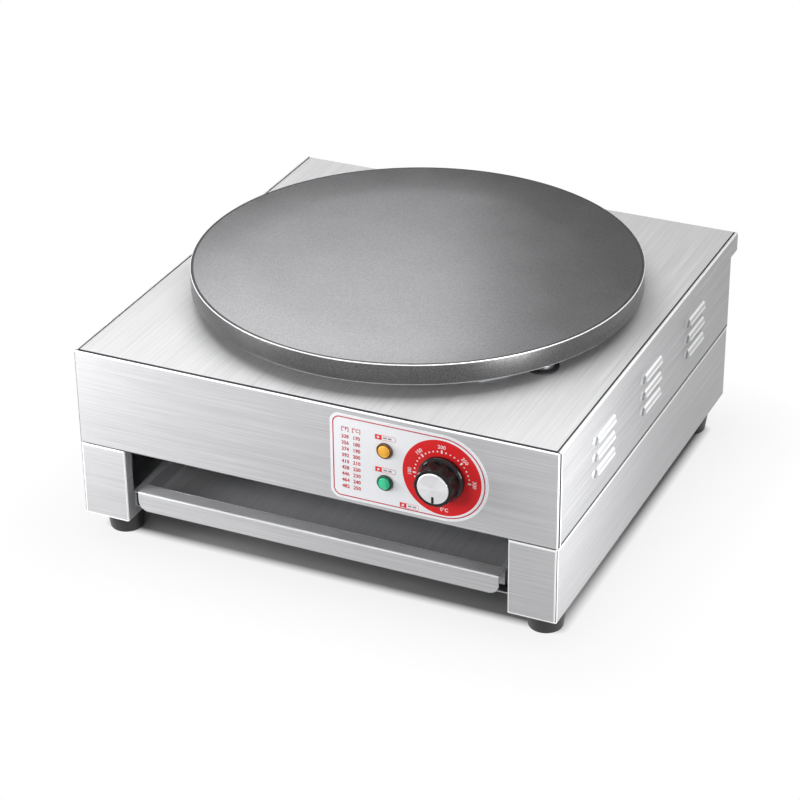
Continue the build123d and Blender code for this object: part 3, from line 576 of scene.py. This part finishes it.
leg_inset = 22.0 * mm
leg_circle = plate_radius - leg_inset
leg_gap = (plate_bottom - deck_z) / mm
washer_height = 1.5
leg_section = [
    (0, washer_height), (10.4, washer_height), (11.0, 2.1), (11.0, 5.2), (10.2, 5.8), (10.2, 7.4),
    (11.0, 8.0), (11.0, leg_gap - 0.6), (10.4, leg_gap), (0, leg_gap),
]
washer_section = [
    (4.4, 0), (14.6, 0), (15.0, 0.4), (15.0, 1.1), (14.6, washer_height), (4.4, washer_height), (4.4, 0),
]
for name, angle in (("right", -30), ("rear", 90), ("left", 210)):
    spot = (
        plate_centre.x + leg_circle * cos(radians(angle)),
        plate_centre.y + leg_circle * sin(radians(angle)),
        deck_z,
    )
    leg = turned(name + "_plate_leg", [(r * mm, z * mm) for r, z in leg_section], spot, steps=64)
    round_edges(leg, 0.2 * mm)
    mount(leg, "housing", "leg_steel", turned_steel, "plate_legs")
    washer = turned(name + "_leg_washer", [(r * mm, z * mm) for r, z in washer_section], spot, steps=64)
    round_edges(washer, 0.15 * mm)
    mount(washer, "housing", "black_washer", pressed_fibre, "leg_washers")


# ---------------------------------------------------------------------------------------------
# Fasteners
# Zinc-plated cap nuts, foot bolts, the clamp bolt and the nut on the thermostat's bush: a bright,
# slightly bluish plating that dulls in patches.
# ---------------------------------------------------------------------------------------------
zinc_plate, tree, shader, patch = grained_finish(
    "bright_zinc_plating", 320.0, 4.0, "9A9CA0", "C3C6CB", 0.35, 0.65, Metallic=1.0, Roughness=0.3
)
dull = add_node(tree, "ShaderNodeMapRange", None, {"Value": (patch, "Fac"), "To Min": 0.2, "To Max": 0.42})
tree.links.new(dull.outputs["Result"], shader.inputs["Roughness"])
dress(zinc_plate, "leg_nuts", "foot_bolts", "clamp_bolt")
dress(zinc_plate, "thermostat_nut", "thermostat_shaft", "element_terminals")


# ---------------------------------------------------------------------------------------------
# Heating elements, sensor and insulation
# Mineral-filled tubes in a nickel alloy sheath that heat has turned brown-grey, a copper sensor
# bulb, and a ceramic fibre pad in the heat shield.
# ---------------------------------------------------------------------------------------------
heated_alloy, tree, shader, oxide = grained_finish(
    "oxidised_alloy_sheath", 45.0, 5.0, "3B3733", "6B6056", 0.35, 0.7, Metallic=0.8, Roughness=0.5
)
crust = add_node(
    tree, "ShaderNodeBump", None, {"Height": (oxide, "Fac"), "Strength": 0.2, "Distance": 0.1 * mm}
)
tree.links.new(crust.outputs["Normal"], shader.inputs["Normal"])
dress(heated_alloy, "inner_element", "outer_element")

drawn_copper = grained_finish(
    "drawn_copper", 120.0, 4.0, "8A5433", "D08B5F", Metallic=1.0, Roughness=0.3
)[0]
dress(drawn_copper, "sensor_bulb")

ceramic_fibre, tree, shader, strand = grained_finish(
    "ceramic_fibre_blanket",
    1.0,
    5.0,
    "C9C4B6",
    "F0ECE2",
    0.3,
    0.7,
    (400, 400, 1200),
    Roughness=0.95,
    IOR=1.45,
)
strand.inputs["Distortion"].default_value = 0.8
felt = add_node(
    tree, "ShaderNodeBump", None, {"Height": (strand, "Fac"), "Strength": 0.6, "Distance": 0.4 * mm}
)
tree.links.new(felt.outputs["Normal"], shader.inputs["Normal"])
dress(ceramic_fibre, "insulation_pad")


# ---------------------------------------------------------------------------------------------
# Thermostat, contactor, terminal block and cable gland
# Moulded electrical parts: a filled phenolic thermostat case, a dark contactor, a pale terminal
# block, and a black polyamide gland with its locknut at the rear.
# ---------------------------------------------------------------------------------------------
def moulding(name, light, dark, roughness):
    """Moulded plastic: one colour with a faint flow mottle, and a fine spark-eroded texture."""
    finish, tree, shader, flow = grained_finish(name, 70.0, 2.0, dark, light, Roughness=roughness, IOR=1.5)
    points = grain_points(tree, (1, 1, 1))
    spark = add_node(tree, "ShaderNodeTexNoise", None, {"Vector": (points, "Vector"), "Scale": 1600.0})
    texture = add_node(
        tree, "ShaderNodeBump", None, {"Height": (spark, "Fac"), "Strength": 0.15, "Distance": 0.03 * mm}
    )
    tree.links.new(texture.outputs["Normal"], shader.inputs["Normal"])
    return finish


dress(moulding("filled_phenolic_case", "CFC8B8", "BDB5A4", 0.5), "thermostat")
dress(moulding("dark_control_moulding", "3A3A3C", "2E2E30", 0.45), "contactor")
dress(moulding("pale_terminal_moulding", "EBE8DF", "DAD6CB", 0.5), "terminal_block")
dress(moulding("black_polyamide", "202021", "141415", 0.42), "cable_gland", "gland_locknut")


# ---------------------------------------------------------------------------------------------
# Control label
# A thin aluminium plate under a printed polyester film, glued to the front panel. The plate is the
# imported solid; the print is raised by a few hundredths of a millimetre, as screen ink is.
# ---------------------------------------------------------------------------------------------
label_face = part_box("control_label")[0].y
ink_lift = 0.03 * mm

label_film, tree, shader, orange_peel = grained_finish(
    "printed_polyester_film", 420.0, 2.0, "F1F2F7", "F9FAFC", Roughness=0.28, IOR=1.57
)
peel = add_node(
    tree, "ShaderNodeBump", None, {"Height": (orange_peel, "Fac"), "Strength": 0.05, "Distance": 0.05 * mm}
)
tree.links.new(peel.outputs["Normal"], shader.inputs["Normal"])
dress(label_film, "control_label")


def ink(name, light, dark):
    """Screen ink: an even colour with the slight mottle of the mesh, and a satin face."""
    sockets = {"Roughness": 0.5, "IOR": 1.45, "Specular_IOR_Level": 0.3}
    return grained_finish(name, 600.0, 2.0, dark, light, **sockets)[0]


red_ink = ink("red_screen_ink", "E8262A", "DD1D22")
crimson_ink = ink("crimson_screen_ink", "C81E3C", "B81734")
white_ink = ink("white_screen_ink", "F6F6F6", "EDEDED")
grey_ink = ink("grey_screen_ink", "8E8E96", "7E7E86")


def print_on(piece, finish, layer=1):
    """Lays a flat print, drawn in the XY plane, on the label's face at its layer."""
    place = Matrix.Translation((0, label_face - layer * ink_lift, seam_z))
    piece.data.transform(place @ Matrix.Rotation(pi / 2, 4, "X"))
    mount(piece, "housing", "label_film", finish)


def flat_rectangle(name, x, z):
    """A flat rectangle between two values of each axis, still in the XY plane."""
    bpy.ops.object.select_all(action="DESELECT")
    bpy.ops.mesh.primitive_plane_add(size=1, location=((x[0] + x[1]) / 2 * mm, (z[0] + z[1]) / 2 * mm, 0))
    piece = bpy.context.object
    piece.name = name
    piece.scale = ((x[1] - x[0]) * mm, (z[1] - z[0]) * mm, 1)
    settle(piece)
    return piece


def round_corners(piece, radius, test):
    """Rounds the corners of a flat piece that a test picks by their place."""
    settle(piece)
    bpy.ops.object.mode_set(mode="EDIT")
    bpy.ops.mesh.select_all(action="DESELECT")
    bpy.ops.object.mode_set(mode="OBJECT")
    for point in piece.data.vertices:
        point.select = test(point.co)
    bpy.ops.object.mode_set(mode="EDIT")
    bpy.ops.mesh.select_mode(type="VERT")
    bpy.ops.mesh.bevel(offset=radius, segments=12, affect="VERTICES")
    bpy.ops.object.mode_set(mode="OBJECT")


def outline_of(piece, width):
    """Leaves only a border of that width along the edge of a flat piece."""
    settle(piece)
    bpy.ops.object.mode_set(mode="EDIT")
    bpy.ops.mesh.select_mode(type="FACE")
    bpy.ops.mesh.select_all(action="SELECT")
    bpy.ops.mesh.inset(thickness=width, depth=0)
    bpy.ops.mesh.delete(type="FACE")
    bpy.ops.object.mode_set(mode="OBJECT")


# Red line round the film, 2.5 mm in from its edge, with one round end. The print is placed by
# millimetres to the right of the middle and above the seam over the base.
left, right, bottom, top = 22.4, 158.9, 6.7, 82.0
line_width, corner_radius = 1.0, 7.0
border = flat_rectangle("label_border_line", (left, right), (bottom, top))
middle_x = (left + right) / 2 * mm
round_corners(border, corner_radius * mm, lambda spot: spot.x < middle_x)
just_under_half = (top - bottom) / 2 * mm * 0.9999
round_corners(border, just_under_half, lambda spot: spot.x > (right - 0.1) * mm)
outline_of(border, line_width * mm)
print_on(border, crimson_ink)

# Red dial round the knob, with white marks and plain numbers.
dial_x, dial_z = 120.4, 44.2
dial_radius, band_width = 35.0, 29.0
number_radius, dot_circle, dot_radius = 28.6, 24.4, 0.75
bpy.ops.object.select_all(action="DESELECT")
bpy.ops.mesh.primitive_circle_add(
    vertices=128, radius=dial_radius * mm, fill_type="NGON", location=(dial_x * mm, dial_z * mm, 0)
)
dial = bpy.context.object
dial.name = "label_dial"
outline_of(dial, band_width * mm)
print_on(dial, red_ink)


def printed_words(name, words, x, z, size, weight, finish, turn=0, layer=1):
    """Sets plain figures as text, makes them a mesh and lays them on the label."""
    bpy.ops.object.select_all(action="DESELECT")
    bpy.ops.object.text_add(location=(x * mm, z * mm, 0), rotation=(0, 0, radians(turn)))
    text = bpy.context.object
    text.name = name
    text.data.body = words
    text.data.align_x = "CENTER"
    text.data.align_y = "CENTER"
    text.data.size = size * mm
    text.data.offset = weight * mm
    text.data.resolution_u = 3
    bpy.ops.object.convert(target="MESH")
    text = bpy.context.object
    text.name = name
    settle(text)
    print_on(text, finish, layer)


for number, angle in ((100, 180), (150, 135), (200, 90), (250, 45), (300, 0)):
    out = radians(angle)
    printed_words(
        f"dial_number_{number}",
        str(number),
        dial_x + number_radius * cos(out),
        dial_z + number_radius * sin(out),
        size=4.7,
        weight=0.06,
        finish=white_ink,
        turn=angle - 90,
        layer=2,
    )
    mark = flat_rectangle(f"dial_mark_{number}", (dot_circle - 1.5, dot_circle + 1.5), (-0.75, 0.75))
    mark.data.transform(Matrix.Translation((dial_x * mm, dial_z * mm, 0)) @ Matrix.Rotation(out, 4, "Z"))
    print_on(mark, white_ink, 2)
printed_words("dial_unit", "0°C", dial_x + 2.0, dial_z - 29.6, 4.6, 0.1, white_ink, layer=2)

# Small dots between the marks, and one below the first.
for n in [-1] + [k for k in range(20) if k % 5]:
    out = radians(180 - 9 * n)
    bpy.ops.object.select_all(action="DESELECT")
    bpy.ops.mesh.primitive_circle_add(
        vertices=16,
        radius=dot_radius * mm,
        fill_type="NGON",
        location=((dial_x + dot_circle * cos(out)) * mm, (dial_z + dot_circle * sin(out)) * mm, 0),
    )
    dot = bpy.context.object
    dot.name = f"dial_dot_{n + 1:02d}"
    settle(dot)
    print_on(dot, white_ink, 2)

# Temperature table: a Fahrenheit and a Celsius column, a figure for every ten degrees.
column_f, column_c, heading_height, first_row, row_pitch = 33.8, 44.0, 70.8, 63.5, 5.89
head_size, head_weight, figure_size, figure_weight = 4.6, 0.12, 4.5, 0.16
for scale, heading, column in (("f", "[°F]", column_f), ("c", "[°C]", column_c)):
    heading_name = f"table_head_{scale}"
    printed_words(heading_name, heading, column, heading_height, head_size, head_weight, crimson_ink)
for row in range(9):
    celsius = 170 + 10 * row
    fahrenheit = celsius * 9 // 5 + 32
    height = first_row - row_pitch * row
    for scale, figure, column in (("f", fahrenheit, column_f), ("c", celsius, column_c)):
        figure_name = f"table_{scale}_{celsius}"
        printed_words(figure_name, str(figure), column, height, figure_size, figure_weight, crimson_ink)

# Three plain caption boxes: a red block with a white mark, and an outlined field with grey bars.
block_width, half_height, bar_length = 5.6, 2.25, 3.2
for name, x, z, length in (
    ("amber", 61.0, 69.9, 18.5),
    ("green", 60.8, 39.5, 18.5),
    ("knob", 82.6, 10.5, 17.0),
):
    tall = (z - half_height, z + half_height)
    block = flat_rectangle(f"caption_{name}_block", (x, x + block_width), tall)
    print_on(block, red_ink)
    field = flat_rectangle(f"caption_{name}_field", (x + block_width, x + length), tall)
    end = (x + length - 0.1) * mm
    round_corners(field, 1.2 * mm, lambda spot: spot.x > end)
    outline_of(field, 0.35 * mm)
    print_on(field, red_ink)
    mark = flat_rectangle(f"caption_{name}_mark", (x + 1.7, x + 3.9), (z - 1.1, z + 1.1))
    round_corners(mark, 0.8 * mm, lambda spot: True)
    print_on(mark, white_ink, 2)
    for n, start in enumerate((7.4, 11.6)):
        across = (x + start, x + start + bar_length)
        bar = flat_rectangle(f"caption_{name}_bar_{n + 1}", across, (z - 0.7, z + 0.7))
        print_on(bar, grey_ink)


# ---------------------------------------------------------------------------------------------
# Pilot lamps
# Snap-in lamps of clear-coloured polycarbonate: a round bezel and a raised, softly domed lens, one moulding
# each. The lens is bright in its colour, and the bezel is the same plastic painted dark, a painted shade.
# ---------------------------------------------------------------------------------------------
def lamp_plastic(name, light, dark):
    """Polished polycarbonate: a smooth glossy face and hardly any mottle."""
    return grained_finish(name, 160.0, 1.0, dark, light, Roughness=0.14, IOR=1.58)[0]


lamp_depth, lens_edge = 20.0, 5.28
lamp_section = [
    (0, -lamp_depth), (4.4, -lamp_depth), (4.4, 0.0), (7.2, 0.0), (7.2, 1.3), (6.9, 1.9), (6.3, 2.1),
    (5.9, 1.9), (5.6, 1.5), (5.3, 1.5), (5.2, 2.6), (4.9, 3.2), (4.5, 3.4), (4.2, 3.0), (3.8, 3.0),
    (3.5, 3.7), (2.2, 3.9), (0, 4.0),
]
# Painted shade: each bezel colour is a dark copy of its lens colour.
for name, colours, rim in (
    ("amber", ("FFC132", "F8A716"), ("5E3A0A", "4A2C06")),
    ("green", ("2BDDA2", "1DC990"), ("074D32", "043A26")),
):
    low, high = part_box(name + "_lamp")
    middle = ((low.x + high.x) / 2, label_face, (low.z + high.z) / 2)
    lamp = turned(
        name + "_pilot_lamp", [(r * mm, z * mm) for r, z in lamp_section], middle, axis="-Y", steps=64
    )
    round_edges(lamp, 0.12 * mm)
    lens_finish = lamp_plastic(name + "_lens_polycarbonate", *colours)
    mount(lamp, "housing", name + "_plastic", lens_finish, name + "_lamp")
    lamp.data.materials.append(lamp_plastic(name + "_bezel_polycarbonate", *rim))
    for face in lamp.data.polygons:
        spot = face.center
        if sqrt((spot.x - middle[0]) ** 2 + (spot.z - middle[2]) ** 2) > lens_edge * mm:
            face.material_index = 1


# ---------------------------------------------------------------------------------------------
# Knob
# Black phenolic moulding with ten finger scallops above a round skirt, and a spun aluminium disc
# pressed into its front. A black line filled into the disc is the pointer.
# ---------------------------------------------------------------------------------------------
knob_low, knob_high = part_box("knob")
knob_x = (knob_low.x + knob_high.x) / 2
knob_z = (knob_low.z + knob_high.z) / 2
knob_back = knob_high.y

black_phenolic, tree, shader, flow = grained_finish(
    "polished_black_phenolic",
    110.0,
    3.0,
    "0E0C0D",
    "1D1819",
    Roughness=0.2,
    IOR=1.5,
    Specular_IOR_Level=0.25,
)
hood_highlight_and_knob_gloss = add_node(
    tree, "ShaderNodeMapRange", None, {"Value": (flow, "Fac"), "To Min": 0.09, "To Max": 0.19}
)
tree.links.new(hood_highlight_and_knob_gloss.outputs["Result"], shader.inputs["Roughness"])

bore_radius, skirt_radius, skirt_top, knob_height = 3.05, 20.3, 4.8, 17.1
knob_section = [
    (bore_radius, 0), (9.5, 0.0), (skirt_radius, 0.0), (skirt_radius, 2.6), (19.9, 3.3),
    (18.4, skirt_top), (17.1, 16.6), (16.4, knob_height), (bore_radius, knob_height), (bore_radius, 0),
]
knob = turned("scalloped_knob", [(r * mm, z * mm) for r, z in knob_section], (0, 0, 0), steps=120)
bpy.ops.object.select_all(action="DESELECT")
flute_radius, flute_depth, neck_radius, flute_length = 6.0, 1.4, 17.75, 14.0
bpy.ops.mesh.primitive_cylinder_add(
    vertices=72,
    radius=flute_radius * mm,
    depth=flute_length * mm,
    location=((neck_radius - flute_depth + flute_radius) * mm, 0, (skirt_top + flute_length / 2) * mm),
)
cutter = bpy.context.object
settle(cutter)
cutter.data.transform(Matrix.Rotation(radians(18), 4, "Z"))
cutters = [cutter]
for n in range(1, 10):
    twin = copy_of(cutter, f"cutter_{n}")
    twin.data.transform(Matrix.Rotation(radians(36 * n), 4, "Z"))
    cutters.append(twin)
for cutter in cutters:
    settle(knob)
    cut = knob.modifiers.new("scallop", "BOOLEAN")
    cut.object = cutter
    cut.operation = "DIFFERENCE"
    cut.solver = "EXACT"
    bpy.ops.object.modifier_apply(modifier=cut.name)
for cutter in cutters:
    bpy.data.objects.remove(cutter)
round_edges(knob, 0.5 * mm, 3, 24)
knob.data.transform(Matrix.Translation((knob_x, knob_back, knob_z)) @ Matrix.Rotation(pi / 2, 4, "X"))
mount(knob, "knob", "knob_plastic", black_phenolic, "knob")

# Spun disc: bright aluminium with fine rings from the lathe, which spread light across themselves.
spun_disc, tree, shader = new_finish("spun_aluminium", Metallic=0.9, Roughness=0.28, Anisotropic=0.85)
spin = add_node(tree, "ShaderNodeTangent", {"direction_type": "RADIAL", "axis": "Y"})
tree.links.new(spin.outputs["Tangent"], shader.inputs["Tangent"])
place = add_node(tree, "ShaderNodeTexCoord")
centred = add_node(
    tree,
    "ShaderNodeMapping",
    None,
    {"Vector": (place, "Object"), "Location": (-knob_x, 0, -knob_z), "Scale": (1, 0, 1)},
)
radius = add_node(tree, "ShaderNodeVectorMath", {"operation": "LENGTH"}, {0: (centred, "Vector")})
ring_line = add_node(
    tree, "ShaderNodeTexNoise", {"noise_dimensions": "1D"}, {"Scale": 1500.0, "Detail": 2.0}
)
tree.links.new(radius.outputs["Value"], ring_line.inputs["W"])
tone = add_node(tree, "ShaderNodeValToRGB", None, {"Fac": (ring_line, "Fac")})
tone.color_ramp.elements[0].position = 0.3
tone.color_ramp.elements[0].color = sheet_colour("D0D0D2")
tone.color_ramp.elements[1].position = 0.7
tone.color_ramp.elements[1].color = sheet_colour("E4E4E6")
tree.links.new(tone.outputs["Color"], shader.inputs["Base Color"])
groove = add_node(
    tree, "ShaderNodeBump", None, {"Height": (ring_line, "Fac"), "Strength": 0.15, "Distance": 0.03 * mm}
)
tree.links.new(groove.outputs["Normal"], shader.inputs["Normal"])

cap_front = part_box("knob_cap")[0].y
cap_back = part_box("knob_cap")[1].y
cap_section = [
    (0, -0.4), (13.4, -0.4), (13.8, 0.0), (13.8, 0.55), (13.3, 0.9), (12.6, 1.0), (0, 1.0),
]
cap = turned(
    "knob_disc", [(r * mm, z * mm) for r, z in cap_section], (knob_x, cap_back, knob_z), axis="-Y", steps=120
)
round_edges(cap, 0.1 * mm)
mount(cap, "knob", "knob_metal", spun_disc, "knob_cap")

# Black line in the disc, from near its edge inwards, with a round inner end.
half_line, line_outer, line_inner = 1.15, 13.3, 7.2
pointer = flat_rectangle("knob_pointer", (-half_line, half_line), (-line_outer, -line_inner))
round_corners(pointer, 1.1 * mm, lambda spot: spot.y > -(line_inner + 0.1) * mm)
pointer.data.transform(
    Matrix.Translation((knob_x, cap_front - ink_lift, knob_z)) @ Matrix.Rotation(pi / 2, 4, "X")
)
mount(pointer, "knob", "knob_plastic", black_phenolic)


# ---------------------------------------------------------------------------------------------
# Floor, light and camera
# A white floor and a white wall, which shine by themselves to the camera and in reflections, and
# soft boxes. The camera stands 2.4 m away, right of the front and above it, with a long lens.
# ---------------------------------------------------------------------------------------------
bpy.ops.object.select_all(action="DESELECT")
bpy.ops.mesh.primitive_plane_add(size=40, location=(0, 0, -0.0002))
floor = bpy.context.object
floor.name = "studio_floor"
paper, tree, shader = new_finish("white_studio_paper", Roughness=0.9, Specular_IOR_Level=0.0)
shader.inputs["Base Color"].default_value = (0.3, 0.3, 0.3, 1)

# The floor shines all white from 110 mm away from the base and a little less nearer to it, which is a
# painted shadow round the base, and not at all under it, where the grey paper takes the rendered shadow.
base_half_width, base_half_depth = 0.21, 0.183
nearly_white, all_white = 0.011, 0.11
place = add_node(tree, "ShaderNodeTexCoord")
folded = add_node(tree, "ShaderNodeVectorMath", {"operation": "ABSOLUTE"}, {0: (place, "Object")})
past_base = add_node(tree, "ShaderNodeVectorMath", {"operation": "SUBTRACT"}, {0: (folded, "Vector")})
past_base.inputs[1].default_value = (base_half_width, base_half_depth, 1.0)
outside = add_node(tree, "ShaderNodeVectorMath", {"operation": "MAXIMUM"}, {0: (past_base, "Vector")})
outside.inputs[1].default_value = (0, 0, 0)
away = add_node(tree, "ShaderNodeVectorMath", {"operation": "LENGTH"}, {0: (outside, "Vector")})
painted_shadow_falloff = add_node(tree, "ShaderNodeValToRGB", None, {"Fac": (away, "Value")})
painted_shadow_falloff.color_ramp.elements[0].color = (0.0, 0.0, 0.0, 1)
painted_shadow_falloff.color_ramp.elements[1].position = all_white
painted_shadow_falloff.color_ramp.elements.new(nearly_white).color = (0.86, 0.86, 0.86, 1)
rays = add_node(tree, "ShaderNodeLightPath")
seen = add_node(tree, "ShaderNodeMath", {"operation": "MAXIMUM"}, {0: (rays, "Is Camera Ray")})
tree.links.new(rays.outputs["Is Glossy Ray"], seen.inputs[1])
through = add_node(tree, "ShaderNodeMath", {"operation": "MAXIMUM"}, {0: (seen, "Value")})
tree.links.new(rays.outputs["Is Transmission Ray"], through.inputs[1])
share = add_node(
    tree, "ShaderNodeMath", {"operation": "MULTIPLY"}, {0: (through, "Value"), 1: (painted_shadow_falloff, "Color")}
)
white = add_node(tree, "ShaderNodeEmission", None, {"Strength": 1.0})
both = add_node(
    tree, "ShaderNodeMixShader", None, {0: (share, "Value"), 1: (shader, "BSDF"), 2: (white, "Emission")}
)
tree.links.new(both.outputs[0], tree.nodes["Material Output"].inputs["Surface"])
floor.data.materials.append(paper)

# The wall is white to the camera and lights the scene dimly. Reflections see a dark flag in it,
# behind, left and above, which keeps the plate and the top panel from going white.
world = bpy.data.worlds.new("studio")
bpy.context.scene.world = world
world.use_nodes = True
tree = world.node_tree
backdrop = tree.nodes["Background"]
backdrop.inputs["Color"].default_value = (1, 1, 1, 1)
sky = add_node(tree, "ShaderNodeTexCoord")
flag_direction = (-0.33, 0.86, 0.39)
towards_flag = add_node(
    tree, "ShaderNodeVectorMath", {"operation": "DOT_PRODUCT"}, {0: (sky, "Generated"), 1: flag_direction}
)
wall = add_node(
    tree,
    "ShaderNodeMapRange",
    None,
    {"Value": (towards_flag, "Value"), "From Min": 0.72, "From Max": 0.985, "To Min": 1.0, "To Max": 0.03},
)
rays = add_node(tree, "ShaderNodeLightPath")
shown = add_node(tree, "ShaderNodeMath", {"operation": "MAXIMUM"})
tree.links.new(rays.outputs["Is Glossy Ray"], shown.inputs[0])
tree.links.new(rays.outputs["Is Transmission Ray"], shown.inputs[1])
level = add_node(
    tree, "ShaderNodeMix", None, {"Factor": (shown, "Value"), "A": 0.12, "B": (wall, "Result")}
)
seen = add_node(
    tree, "ShaderNodeMath", {"operation": "MAXIMUM"}, {0: (rays, "Is Camera Ray"), 1: (level, "Result")}
)
tree.links.new(seen.outputs[0], backdrop.inputs["Strength"])


def soft_lamp(name, place, aim, size, power):
    """A rectangular soft box, turned to its aim."""
    light = bpy.data.lights.new(name, "AREA")
    light.shape = "RECTANGLE"
    light.size, light.size_y = size
    light.energy = power
    lamp = bpy.data.objects.new(name, light)
    bpy.context.scene.collection.objects.link(lamp)
    lamp.location = place
    lamp.visible_camera = False
    lamp.rotation_euler = (Vector(aim) - Vector(place)).to_track_quat("-Z", "Y").to_euler()


soft_lamp("left_box", (-0.45, -0.42, 0.22), (-0.15, -0.2, 0.1), (0.2, 0.2), 2.2)
soft_lamp("front_box", (-0.1, -0.62, 0.34), (-0.06, -0.2, 0.12), (0.2, 0.2), 1.0)
soft_lamp("overhead_box", (0, 0, 1.3), (0, 0, 0.1), (1.9, 0.6), 18)
soft_lamp("right_box", (0.42, -0.24, 0.2), (0.22, -0.19, 0.1), (0.15, 0.15), 1.0)
soft_lamp("back_box", (-0.45, 0.62, 0.77), (-0.02, -0.09, 0.2), (0.5, 0.35), 0.95)

# Camera: its axes are built from the three angles that it is turned by.
camera_place = Vector((0.8596, -1.8952, 1.2196))
azimuth, elevation, roll = radians(24.808), radians(28.755), radians(-0.606)
forward = Vector((-sin(azimuth) * cos(elevation), cos(azimuth) * cos(elevation), -sin(elevation)))
level_right = Vector((cos(azimuth), sin(azimuth), 0))
level_up = level_right.cross(forward)
right = cos(roll) * level_right + sin(roll) * level_up
up = cos(roll) * level_up - sin(roll) * level_right
lens = bpy.data.cameras.new("studio_camera")
lens.sensor_width = 36
lens.lens = 118.06
camera = bpy.data.objects.new("studio_camera", lens)
bpy.context.scene.collection.objects.link(camera)
turn = Matrix((right, up, -forward)).transposed().to_4x4()
camera.matrix_world = Matrix.Translation(camera_place) @ turn
bpy.context.scene.camera = camera
bpy.context.scene.view_settings.view_transform = "Standard"
